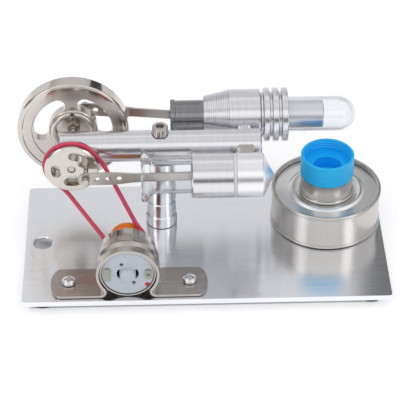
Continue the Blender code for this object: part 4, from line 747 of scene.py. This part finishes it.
def dress_flywheel():
    spot = Place("flywheel", "Y")
    front = WHEEL_RIM_FRONT
    back = spot.length
    outer = spot.radius
    rim = outer - WHEEL_RIM
    step = rim + WHEEL_STEP_WIDTH
    web_front = front + WHEEL_RECESS
    web_back = back - WHEEL_BACK_RECESS
    hub = WHEEL_HUB / 2
    cup = WHEEL_HUB_CUP / 2
    boss = WHEEL_BOSS / 2
    boss_front = WHEEL_HUB_FRONT + WHEEL_BOSS_DEPTH
    floor = WHEEL_HUB_FRONT + WHEEL_HUB_CUP_DEPTH
    soft = (hub - cup) / 2
    edge = WHEEL_ROUND
    bore = SHAFT / 2 + PLAY
    profile = [(boss_front, bore), (boss_front, boss), (floor, boss + GAP), (floor, cup - GAP)]
    profile += [(WHEEL_HUB_FRONT + soft - along, cup + soft + across)
                for across, along in arc((0, 0), soft, 180, 0, WHEEL_HUB_STEPS)]
    profile += [(web_front - GAP, hub), (web_front, hub + GAP), (web_front, rim),
                (front + WHEEL_STEP, rim + GAP), (front + WHEEL_STEP, step), (front, step + WHEEL_STEP / 2)]
    profile += arc((front + edge, outer - edge), edge, 180, 90, WHEEL_ROUND_STEPS)
    profile += arc((back - edge, outer - edge), edge, 90, 0, WHEEL_ROUND_STEPS)
    profile += [(back, rim + WHEEL_BACK_RECESS / 2), (web_back, rim), (web_back, hub),
                (back - GAP, hub - GAP), (back - GAP, bore)]
    inner_edge = hub + WINDOW_BORDER
    outer_edge = rim - WINDOW_BORDER
    middle = (inner_edge + outer_edge) / 2
    width = outer_edge - inner_edge
    pitch = 360 / WHEEL_WINDOWS
    half_spoke = math.degrees((WHEEL_SPOKE / 2 + width / 2) / middle)
    cuts = []
    for index in range(WHEEL_WINDOWS):
        spoke = WHEEL_TURN + index * pitch
        cuts.append(kidney(middle, width, spoke + half_spoke, spoke + pitch - half_spoke, front, back))
    screw = Place("flywheel_set_screw", "Z")
    at_screw = (0, screw.middle.y - spot.origin.y, 0)
    cuts.append(drill("Z", cup - OVERCUT, hub + OVERCUT, SET_SCREW / 2 + GAP / 2, at_screw, GRUB_TURN))
    turned(spot, profile, BIG_ROUND, WHEEL_EDGE, "wheel_nickel", cuts, WHEEL_EDGE_STEPS)
    screw.origin.z = spot.middle.z
    socket = extrude("Z", hexagon(SET_SCREW / 2), hub - 4 * GAP, hub)
    turned(screw, bar(cup, hub - GAP, SET_SCREW / 2), SMALL_ROUND, FINE_EDGE, cuts=[socket])


def dress_crank_disc():
    spot = Place("crank_disc", "Y")
    back = spot.length
    outer = spot.radius
    bore = SHAFT / 2 + PLAY
    groove = DISC_FLANGE + DISC_CHAMFER
    profile = both_ends(back, [(0, bore), (0, outer - DISC_CHAMFER), (DISC_CHAMFER, outer),
                               (DISC_FLANGE, outer), (groove, DISC_GROOVE_ROOT)])
    turned(spot, profile, BIG_ROUND, cuts=[
        kidney(DISC_WINDOW_RADIUS, DISC_WINDOW_WIDTH, start, end, 0, back) for start, end in DISC_WINDOWS])
    shaft = Place("crankshaft", "Y")
    turned(shaft, chamfered(shaft.length, shaft.radius, GAP), SMALL_ROUND, FINE_EDGE, "chrome")


# Belt and motor

def soft_ramp(value):
    """Zero, then a straight ramp, with a round corner between them."""
    eased = max(0, min(2 * BELT_EASE, value + BELT_EASE))
    return eased ** 2 / (4 * BELT_EASE) + max(0, value - BELT_EASE)


def belt_path():
    """The belt's middle line: round the disc, across to the pulley's plane, round it and back."""
    disc_y = Place("crank_disc", "Y").middle.y
    pulley_y = Place("drive_pulley", "Y").middle.y
    first = CRANK.xz
    second = MOTOR.xz
    apart = second - first
    heading = math.atan2(apart.y, apart.x)
    lean = math.acos((BELT_DISC_RADIUS - BELT_PULLEY_RADIUS) / apart.length)
    points = []

    def on_circle(centre, radius, angle, depth):
        return Vector((centre.x + radius * math.cos(angle), depth, centre.y + radius * math.sin(angle)))

    def wrap(centre, radius, start, end, depth):
        for step in range(BELT_WRAP_STEPS + 1):
            angle = start + (end - start) * step / BELT_WRAP_STEPS
            points.append(on_circle(centre, radius, angle, depth))

    def run_to(target, flat_start, flat_end):
        origin = points[-1].copy()
        for step in range(1, BELT_RUN_STEPS):
            part = step / BELT_RUN_STEPS
            crossed = soft_ramp(part - flat_start) - soft_ramp(part - 1 + flat_end)
            point = origin.lerp(target, part)
            point.y = origin.y + (target.y - origin.y) * crossed / (1 - flat_start - flat_end)
            points.append(point)

    upper = heading + lean
    lower = heading - lean
    wrap(first, BELT_DISC_RADIUS, upper, lower + 2 * math.pi, disc_y)
    run_to(on_circle(second, BELT_PULLEY_RADIUS, lower, pulley_y), BELT_STRAIGHT_DISC, BELT_STRAIGHT_PULLEY)
    wrap(second, BELT_PULLEY_RADIUS, lower, upper, pulley_y)
    run_to(points[0], BELT_STRAIGHT_PULLEY, BELT_STRAIGHT_DISC)
    return points


def dress_belt_and_pulley():
    points = belt_path()
    builder = bmesh.new()
    count = len(points)
    rings = []
    for index in range(count):
        ahead = (points[(index + 1) % count] - points[index - 1]).normalized()
        across = ahead.cross(Vector((0, 1, 0))).normalized()
        up = ahead.cross(across)
        ring = []
        for side in range(BELT_SIDES):
            angle = 2 * math.pi * side / BELT_SIDES
            offset = across * math.cos(angle) + up * math.sin(angle)
            ring.append(builder.verts.new(points[index] + offset * BELT / 2))
        rings.append(ring)
    bridge(builder, rings)
    belt = Place("drive_belt", "Y")
    belt.origin.zero()
    made(belt, builder, 0)

    spot = Place("drive_pulley", "Y")
    turned(spot, both_ends(spot.length, [(0, MOTOR_SHAFT / 2 + PLAY), (0, spot.radius),
                                         (PULLEY_FLANGE, spot.radius),
                                         (PULLEY_FLANGE + DISC_CHAMFER, PULLEY_ROOT)]))


def dress_motor():
    spot = Place("motor_can", "Y")
    outer = spot.radius
    inner = outer - CAN_WALL
    length = spot.length - CAN_BOSS_HEIGHT
    boss = CAN_BOSS / 2
    bore = MOTOR_SHAFT / 2 + RUN
    profile = [(0, inner), (0, outer - GAP), (GAP, outer), (length - CAN_ROUND, outer),
               (length - CAN_ROUND / 3, outer - CAN_ROUND / 3), (length, outer - CAN_ROUND), (length, boss),
               (length + CAN_BOSS_HEIGHT, boss - GAP), (length + CAN_BOSS_HEIGHT, bore),
               (length - CAN_WALL, bore), (length - CAN_WALL, inner)]
    turned(spot, profile, BIG_ROUND)

    bell = Place("motor_end_bell", "Y")
    back = bell.length
    face = GAP
    boss = BELL_BOSS / 2
    tip = face - BELL_BOSS_HEIGHT
    profile = [(tip, 0), (tip, boss - BELL_BOSS_ROUND),
               (tip + BELL_BOSS_ROUND / 3, boss - BELL_BOSS_ROUND / 3), (tip + BELL_BOSS_ROUND, boss),
               (face, boss), (face, bell.radius - GAP), (face + GAP, bell.radius), (back, bell.radius),
               (back, 0)]
    half = BELL_SLOT_SWEEP / 2
    cuts = [kidney(BELL_SLOT_RADIUS, BELL_SLOT_WIDTH, middle - half, middle + half, 0, back)
            for middle in (0, 180)]
    for degrees in (BELL_HOLE_ANGLE, BELL_HOLE_ANGLE + 180):
        x, z = polar(BELL_HOLE_RADIUS, degrees)
        cuts.append(drill("Y", -OVERCUT, back + OVERCUT, BELL_HOLE / 2, (x, 0, z), turn=0))
    turned(bell, profile, BIG_ROUND, 0, cuts=cuts).data.shade_flat()

    for side, eye, stretch in (("left", 0, PAD_STRETCH), ("right", TERMINAL_EYE, 1)):
        tag = Place("motor_terminal_" + side, "Y")
        size = tag.size
        outline = rounded_box(size.z * stretch, size.x, min(size.x, size.z) / 3)
        cuts = [drill("Y", -OVERCUT, size.y + OVERCUT, eye / 2, turn=0)] if eye else ()
        made(tag, extrude("Y", outline, 0, size.y), FINE_EDGE, "solder_tag", cuts)


def strap_stations(spot, foot_z):
    """Places along the strap: X and Z, the outward normal, the rib's share and the width's share."""
    mid = Place("motor_can", "Y").radius + RUN + STRAP_THICK / 2
    fillet = STRAP_FILLET + STRAP_THICK / 2
    drop = MOTOR.z - foot_z
    centre_x = math.sqrt((mid + fillet) ** 2 - (drop - fillet) ** 2)
    meet = math.atan2(fillet - drop, centre_x)

    def foot_and_bend(sign, reach):
        run = []
        straight = reach - STRAP_END_ROUND
        for step in range(STRAP_END_STEPS + 1):
            swing = math.radians(90 * (1 - step / STRAP_END_STEPS))
            run.append((sign * (straight + STRAP_END_ROUND * math.sin(swing)), foot_z, 0, 1, 0,
                        math.cos(swing) if step else STRAP_TIP))
        run.append((sign * centre_x, foot_z, 0, 1, 0, 1))
        for step in range(1, STRAP_BEND_STEPS):
            angle = -math.pi / 2 + (meet - math.pi / 2) * step / STRAP_BEND_STEPS
            out = math.cos(angle)
            up = math.sin(angle)
            run.append((sign * (centre_x + fillet * out), foot_z + fillet * (1 + up), -sign * out, -up,
                        0, 1))
        return run

    arch = []
    for step in range(STRAP_ARCH_STEPS + 1):
        angle = math.pi - meet - (math.pi - 2 * meet) * step / STRAP_ARCH_STEPS
        out = math.cos(angle)
        up = math.sin(angle)
        arch.append((mid * out, MOTOR.z + mid * up, out, up, max(0, up) ** 0.5, 1))
    return foot_and_bend(-1, MOTOR.x - spot.low.x) + arch + foot_and_bend(1, spot.high.x - MOTOR.x)[::-1]


def dress_strap():
    """One bent ribbon: flat feet, small bends and an arch over the motor with a rolled rib."""
    spot = Place("motor_strap", "Z")
    foot_width = spot.size.y
    foot_z = spot.low.z + STRAP_THICK / 2
    builder = bmesh.new()
    rings = []
    for x, z, normal_x, normal_z, rib, fullness in strap_stations(spot, foot_z):
        lift = max(0, min(1, (z - spot.low.z) / STRAP_FILLET - 1))
        width = foot_width + (STRAP_ARCH_WIDTH - foot_width) * lift
        middle = spot.low.y + width / 2
        upper = []
        lower = []
        for step in range(STRAP_ACROSS + 1):
            offset = width * fullness * (step / STRAP_ACROSS - 0.5)
            aside = min(abs(offset) / STRAP_RIB_WIDTH, 0.5)
            bump = STRAP_RIB_HEIGHT * (1 + math.cos(2 * math.pi * aside)) / 2
            for line, out in ((upper, STRAP_THICK / 2 + bump * rib), (lower, -STRAP_THICK / 2)):
                point = (x + normal_x * out, middle + offset, z + normal_z * out)
                line.append(builder.verts.new(point))
        rings.append(upper + list(reversed(lower)))
    bridge(builder, rings, closed=False)
    builder.faces.new(rings[0])
    builder.faces.new(rings[-1])
    spot.origin = Vector((MOTOR.x, 0, 0))
    screws = [Place("strap_left_screw", "Z"), Place("strap_right_screw", "Z")]
    cuts = []
    for screw in screws:
        at_screw = (screw.middle.x - MOTOR.x, screw.middle.y, spot.low.z)
        cuts.append(drill("Z", -OVERCUT, STRAP_THICK + OVERCUT, SCREW_SHANK / 2 + PLAY, at_screw))
    made(spot, builder, material="strap_chrome", cuts=cuts)
    for screw in screws:
        dress_strap_screw(screw)


def dress_strap_screw(screw):
    top = screw.length
    seat = top - SCREW_HEAD_HEIGHT
    head = screw.radius
    shank = SCREW_SHANK / 2
    shoulder = seat + SCREW_EDGE
    profile = [(0, 0), (0, shank), (seat, shank), (seat, head), (shoulder, head)]
    profile += [(shoulder + (top - shoulder) * up, head * out)
                for out, up in arc((0, 0), 1, 0, 90, SCREW_DOME_STEPS)[1:-1]]
    profile.append((top, 0))
    arm = CROSS_LENGTH / 2
    half = CROSS_SLOT / 2
    cross = [(arm, -half), (arm, half), (half, half), (half, arm), (-half, arm), (-half, half), (-arm, half),
             (-arm, -half), (-half, -half), (-half, -arm), (half, -arm), (half, -half)]
    recess = extrude("Z", cross, top - CROSS_DEPTH, top + OVERCUT)
    turned(screw, profile, SMALL_ROUND, FINE_EDGE, "zinc", [recess])


# Rods and sliders

def dress_rod(side):
    """A flat tapered rod from its crank pin to its wrist, with lightening holes."""
    spot = Place(side + "_rod", "Y")
    pin = Place(side + "_crank_pin", "Y").middle
    wrist = JOINT_PLACE[side + "_rod_swing"].copy()
    pin.y = wrist.y = spot.middle.y
    along = wrist - pin
    reach = along.length
    tilt = math.atan2(along.z, along.x)
    big = ROD_BIG_END / 2
    small = ROD_SMALL_END / 2
    half = spot.size.y / 2
    outline = arc((0, 0), big, 90, 270, ROD_END_STEPS)
    outline += [(ROD_TAPER_START, -big), (ROD_TAPER_END, -small)]
    outline += arc((reach, 0), small, -90, 90, ROD_END_STEPS)
    outline += [(ROD_TAPER_END, small), (ROD_TAPER_START, big)]
    holes = [(0, CRANK_PIN / 2 + PLAY), (reach, WRIST_PIN / 2 + PLAY)]
    holes += [(ROD_HOLE_PITCH * (index + 1), ROD_HOLE / 2) for index in range(ROD_HOLE_COUNT)]
    cuts = [drill("Y", -2 * half, 2 * half, radius, (distance, 0, 0)) for distance, radius in holes]
    spot.origin = pin
    rod = made(spot, extrude("Y", swapped(outline), -half, half), FINE_EDGE, "rod_steel", cuts)
    rod.data.transform(Matrix.Rotation(-tilt, 4, "Y"))


def dress_crank_pin(node, head_first):
    """A headed pin; its head is at the low end of its axis, or at the high end."""
    spot = Place(node, "Y")
    head = spot.radius
    half = CRANK_PIN / 2
    end = spot.length
    profile = [(0, 0), (0, head - GAP), (GAP, head), (CRANK_PIN_HEAD_LENGTH, head),
               (CRANK_PIN_HEAD_LENGTH, half), (end, half), (end, 0)]
    if not head_first:
        profile = [(end - along, radius) for along, radius in reversed(profile)]
    turned(spot, profile, SMALL_ROUND, FINE_EDGE, "chrome")


def dress_piston():
    spot = Place("power_piston", "X")
    reach = 2 * spot.radius
    half = ROD_SLOT / 2
    slot = [(-half, -reach), (half, -reach), (half, reach), (-half, reach)]
    at_wrist = spot.along(JOINT_PLACE["power_rod_swing"].x)
    cuts = [extrude("X", slot, -OVERCUT, SLOT_DEPTH),
            drill("Y", -reach, reach, WRIST_PIN / 2 + PLAY / 2, at_wrist)]
    turned(spot, chamfered(spot.length, spot.radius, GAP), cuts=cuts)


# Cylinders

def glass_lip():
    """The flared, rolled mouth of the power glass, from the inside of the tube round to its outside."""
    lip = Place("power_glass", "X").radius
    mouth = GLASS_LIP_MOUTH / 2
    bead = (lip - mouth) / 2

    def flare(far, near):
        points = []
        for step in range(GLASS_LIP_STEPS + 1):
            part = step / GLASS_LIP_STEPS
            ease = (1 + math.cos(math.pi * part)) / 2
            points.append((bead + (GLASS_LIP - bead) * part, near + (far - near) * ease))
        return points

    rolled = arc((bead, (lip + mouth) / 2), bead, 270, 90, GLASS_LIP_STEPS)
    return flare(mouth, GLASS_INNER / 2)[::-1] + rolled[1:-1] + flare(lip, GLASS_OUTER / 2)


def dress_power_cylinder():
    barrel = Place("power_barrel", "X")
    inner = GLASS_OUTER / 2 + RUN
    profile = [(0, inner), (0, barrel.radius - BARREL_CHAMFER), (BARREL_CHAMFER, barrel.radius),
               (barrel.length, barrel.radius), (barrel.length, inner)]
    turned(barrel, profile)
    gasket = Place("power_gasket", "X")
    round_off = gasket.length / 8
    start = -SEAL_SQUEEZE
    profile = both_ends(gasket.length, [(start, inner), (start, gasket.radius - round_off),
                                        (start + round_off, gasket.radius)])
    turned(gasket, profile, material="grey_seal")

    head = Place("power_head", "X")
    flat = head.length - HEAD_CONE
    bore = GLASS_INNER / 2
    profile = [(0, bore), (0, head.radius), (flat - BARREL_CHAMFER, head.radius),
               (flat, head.radius - BARREL_CHAMFER), (head.length, HEAD_TIP / 2), (head.length, 0),
               (HEAD_BORE, 0), (HEAD_BORE, bore)]
    turned(head, profile, material="satin_aluminium", cuts=[stud_hole(head, 0, 2 * head.radius)])

    glass = Place("power_glass", "X")
    end = glass.length
    profile = [(end, GLASS_INNER / 2)] + glass_lip() + [(end, GLASS_OUTER / 2)]
    turned(glass, profile, ROUND, FINE_EDGE)


def dress_transfer():
    nut = Place("lock_nut", "Y")
    size = nut.size
    flats = min(size.x, size.z)
    hole = Place("transfer_tube", "Y").radius + PLAY
    made(nut, extrude("Y", swapped(hexagon(flats)), 0, size.y), NUT_CHAMFER / 2, "chrome",
         [drill("Y", -OVERCUT, size.y + OVERCUT, hole)])
    ring = Place("spacer_ring", "Y")
    turned(ring, both_ends(ring.length, [(0, hole), (0, ring.radius)]), SMALL_ROUND)


def dress_hot_cylinder():
    body = Place("cold_body", "X")
    guide = SLEEVE_BORE / 2
    chamber = HOT_INNER / 2
    start = BODY_CONE_START / 2
    profile = [(0, guide), (0, start)]
    for index in range(BODY_GROOVES):
        for part, depth in ((0.25, 0), (0.5, BODY_GROOVE), (0.75, 0)):
            along = BODY_CONE * (index + part) / BODY_GROOVES
            radius = start + (body.radius - start) * along / BODY_CONE
            profile.append((along, radius - depth))
    profile += [(BODY_CONE, body.radius), (body.length, body.radius), (body.length, chamber)]
    gland = Place("shaft_gland", "X")
    wall = gland.high.x - body.origin.x
    seat = wall - gland.length
    bore = guide - 2 * GAP
    profile += [(wall, chamber), (wall, bore), (seat, bore), (seat, guide)]
    turned(body, profile, edge=FINE_EDGE, cuts=[stud_hole(body, -2 * body.radius, 0)])

    sleeve = Place("guide_sleeve", "X")
    reach = body.low.x - sleeve.low.x - GAP / 10
    side = SLEEVE_OUTER / 2
    profile = [(0, guide), (0, sleeve.radius), (SLEEVE_COLLAR - GAP, sleeve.radius),
               (SLEEVE_COLLAR, side), (reach, side), (reach, guide)]
    turned(sleeve, profile)

    fins = Place("fin_block", "X")
    root = fins.radius - FIN_SLOT_DEPTH
    ledge = fins.length - HOT_SEAT - GAP
    seat = HOT_OUTER / 2 + RUN
    profile = [(0, chamber), (0, root)]
    for index in range(FIN_COUNT):
        begin = FIN_SLOT + index * (FIN_THICK + FIN_SLOT)
        profile += [(begin, root), (begin, fins.radius), (begin + FIN_THICK, fins.radius)]
        if index < FIN_COUNT - 1:
            profile.append((begin + FIN_THICK, root))
    profile += [(fins.length, seat), (ledge, seat), (ledge, chamber)]
    turned(fins, profile, ROUND, 3 * EDGE)

    glass = Place("hot_glass", "X")
    outer = HOT_OUTER / 2
    dome = glass.length - outer
    profile = [(0, chamber), (0, outer)]
    profile += dome_points(dome, outer)
    profile += reversed(dome_points(dome, chamber))
    turned(glass, profile, ROUND, FINE_EDGE)

    slug = Place("displacer", "X")
    radius = slug.radius
    shaft = Place("displacer_shaft", "X")
    hole = shaft.radius + PLAY / 2
    depth = shaft.high.x - slug.origin.x + GAP
    profile = [(0, hole), (0, radius - GAP), (GAP, radius), (slug.length - 2 * GAP, radius),
               (slug.length, radius - 2 * GAP), (slug.length, 0), (depth, 0), (depth, hole)]
    turned(slug, profile)


def dome_points(centre, radius):
    """Quarter circle from a tube's side to its tip, ending on the axis."""
    round_side = arc((0, 0), radius, 0, 90, DOME_STEPS)[:-1]
    return [(centre + along, out) for out, along in round_side] + [(centre + radius, 0)]


# Burner

def dress_burner():
    tin = Place("burner_tin", "Z")
    top = tin.length
    seam = tin.radius
    outer = TIN_SIDE / 2
    inner = outer - TIN_WALL
    seam_inner = seam - SEAM_WIDTH
    lid = Place("burner_lid", "Z")
    lid_z = lid.origin.z - tin.origin.z
    roll = SEAM_HEIGHT / 2
    profile = [(0, 0), (0, seam - TIN_FOOT / 2), (TIN_FOOT / 3, seam), (TIN_FOOT, seam),
               (TIN_FOOT + GAP, outer), (top - SEAM_HEIGHT - GAP, outer)]
    profile += arc((top - roll, seam - roll), roll, 180, 0, SEAM_STEPS)
    profile += [(top, seam_inner + GAP), (top - GAP, seam_inner), (lid_z + LID_SHEET + GAP, seam_inner),
                (lid_z + LID_SHEET + GAP, inner), (TIN_WALL, inner), (TIN_WALL, 0)]
    turned(tin, profile, BIG_ROUND)

    hole = NECK_PLUG / 2 + RUN
    lower = [(0, hole), (0, LID_BEAD_RADIUS - LID_BEAD_WIDTH / 2)]
    upper = []
    for step in range(LID_BEAD_STEPS + 1):
        part = step / LID_BEAD_STEPS
        rise = LID_BEAD_HEIGHT * math.sin(math.pi * part)
        along = LID_BEAD_RADIUS + LID_BEAD_WIDTH * (part - 0.5)
        lower.append((rise, along))
        upper.append((LID_SHEET + rise, along))
    lower.append((0, lid.radius))
    profile = lower + [(LID_SHEET, lid.radius)] + list(reversed(upper)) + [(LID_SHEET, hole)]
    turned(lid, profile, BIG_ROUND, FINE_EDGE, "lid_plate")

    neck = Place("burner_neck", "Z")
    flange = neck.radius
    side = NECK_SIDE / 2
    bore = NECK_BORE / 2
    seat = lid.origin.z + LID_SHEET + GAP - neck.origin.z
    sweep = flange - side
    profile = [(0, bore), (0, NECK_PLUG / 2), (seat, NECK_PLUG / 2), (seat, flange)]
    profile += [(seat + GAP + NECK_FLANGE_HEIGHT * (1 + along / sweep), flange + across)
                for across, along in arc((0, 0), sweep, 270, 180, NECK_STEPS)]
    profile += [(neck.length, side), (neck.length, bore)]
    turned(neck, profile)

    cap = Place("burner_cap", "Z")
    base = CAP_PLUG
    top = cap.length
    outer = cap.radius
    wall = outer - CAP_WALL
    well = CAP_WELL / 2
    plug = CAP_PLUG_SIDE / 2
    profile = [(0, 0), (0, plug), (base, plug), (base, outer - GAP), (base + GAP, outer),
               (top - GAP, outer), (top, outer - GAP), (top, wall + GAP), (top - GAP, wall)]
    for index in range(CAP_THREADS):
        crest = top - CAP_THREAD_FIRST - index * CAP_THREAD_PITCH
        profile += [(crest + CAP_THREAD, wall), (crest, wall - CAP_THREAD), (crest - CAP_THREAD, wall)]
    ledge = base + CAP_LEDGE
    floor = base + CAP_FLOOR
    profile += [(ledge, wall), (ledge, well), (floor, well), (floor, 0)]
    turned(cap, profile, BIG_ROUND)


def dress_carried_nodes():
    """Nodes that stay as the CAD has them take their finish from their slot."""
    for node, piece in frame["nodes"].items():
        piece.data.materials.clear()
        piece.data.materials.append(MATERIALS[SLOT_OF[node]])


# Studio

def build_floor():
    """A pale floor and backdrop, which glow a little to the camera but not under the plate."""
    builder = bmesh.new()
    half = FLOOR_SIZE / 2
    lines = [(-half, 0), (BACKDROP_PLACE, 0), (BACKDROP_PLACE, BACKDROP_HEIGHT)]
    rows = [[builder.verts.new((side * half, y, z)) for side in (-1, 1)] for y, z in lines]
    for near, far in zip(rows, rows[1:]):
        builder.faces.new([near[0], near[1], far[1], far[0]])
    floor = put_in_scene("studio_floor", builder)
    floor.location = STAGE - Vector((0, 0, FLOOR_DROP))
    material, tree, shader = principled("studio_floor", Roughness=FLOOR_ROUGHNESS, Base_Color=FLOOR_COLOUR,
                                        Emission_Color=WHITE)
    place = add_node(tree, "TexCoord").outputs["Object"]
    stand = ((cad_high[0] - cad_low[0]) / 2, (cad_high[1] - cad_low[1]) / 2, 1)
    share = computed(tree, "VectorMath", "DIVIDE", place, stand)
    sides = add_node(tree, "SeparateXYZ")
    tree.links.new(computed(tree, "VectorMath", "ABSOLUTE", share), sides.inputs["Vector"])
    wider = computed(tree, "Math", "MAXIMUM", sides.outputs["X"], sides.outputs["Y"])
    clear = computed(tree, "Math", "GREATER_THAN", wider, UNDER_PLATE)
    rays = add_node(tree, "LightPath").outputs
    seen = computed(tree, "Math", "MAXIMUM", rays["Is Camera Ray"], rays["Is Glossy Ray"])
    seen = computed(tree, "Math", "MAXIMUM", seen, rays["Is Transmission Ray"])
    glow = computed(tree, "Math", "MULTIPLY", computed(tree, "Math", "MULTIPLY", clear, seen), FLOOR_GLOW)
    tree.links.new(glow, shader.inputs["Emission Strength"])
    floor.data.materials.append(material)


def build_world():
    """A room in bands of height: pale below, dark round the horizon, light above and dimmer at the top."""
    world = bpy.data.worlds.new("studio")
    world.use_nodes = True
    tree = world.node_tree
    split = add_node(tree, "SeparateXYZ")
    height = add_node(tree, "MapRange", From_Min=-1)
    link(tree, add_node(tree, "TexCoord"), "Generated", split, "Vector")
    link(tree, split, "Z", height, "Value")
    steps = [(position, (level, level, level * WORLD_BLUE)) for position, level in WORLD_STEPS]
    link(tree, ramp_of(tree, height, "Result", steps), "Color", tree.nodes["Background"], "Color")
    bpy.context.scene.world = world


def add_softbox(name, offset, size, power):
    """An area lamp at an offset from the middle of the object's stand, turned towards the object."""
    target = STAGE + Vector((0, 0, OBJECT_MIDDLE))
    place = STAGE + Vector(offset)
    lamp = bpy.data.lights.new(name, "AREA")
    lamp.shape = "RECTANGLE"
    lamp.size = size[0]
    lamp.size_y = size[1]
    lamp.energy = power
    box = bpy.data.objects.new(name, lamp)
    box.location = place
    box.rotation_euler = (target - place).to_track_quat("-Z", "Y").to_euler()
    bpy.context.scene.collection.objects.link(box)


def build_flag():
    """A dark card behind the scene on the right, which shades that end of the plate."""
    builder = bmesh.new()
    outline = rounded_box(*FLAG_SIZE, FLAG_CORNER)
    builder.faces.new([builder.verts.new((u, 0, v)) for u, v in outline])
    flag = put_in_scene("dark_flag", builder)
    flag.location = STAGE + FLAG_PLACE
    shade = (FLAG_SHADE, FLAG_SHADE, FLAG_SHADE, 1)
    flag.data.materials.append(principled("dark_flag", Roughness=1, Base_Color=shade)[0])


def build_studio():
    build_floor()
    build_flag()
    build_world()
    for softbox in SOFTBOXES:
        add_softbox(*softbox)


def build_camera():
    lens = bpy.data.cameras.new("photo_camera")
    lens.lens = CAMERA_LENS
    lens.sensor_width = CAMERA_SENSOR
    lens.sensor_fit = "HORIZONTAL"
    lens.clip_start = CAMERA_NEAR
    right = Vector((math.cos(CAMERA_YAW), -math.sin(CAMERA_YAW), 0))
    forward = CAMERA_FORWARD.normalized()
    up = right.cross(forward)
    camera = bpy.data.objects.new("photo_camera", lens)
    turn = Matrix((right, up, -forward)).transposed().to_4x4()
    turn.translation = CRANK + CAMERA_OFFSET
    camera.matrix_world = turn
    bpy.context.scene.collection.objects.link(camera)
    bpy.context.scene.camera = camera


def main():
    dress_carried_nodes()
    dress_base()
    dress_column_and_beam()
    dress_flywheel()
    dress_crank_disc()
    dress_belt_and_pulley()
    dress_motor()
    dress_strap()
    dress_rod("power")
    dress_rod("displacer")
    dress_crank_pin("power_crank_pin", True)
    dress_crank_pin("displacer_crank_pin", False)
    dress_piston()
    dress_power_cylinder()
    dress_transfer()
    dress_hot_cylinder()
    dress_burner()
    build_studio()
    build_camera()
    bpy.context.scene.view_settings.view_transform = "Standard"
    bpy.context.view_layer.update()


main()
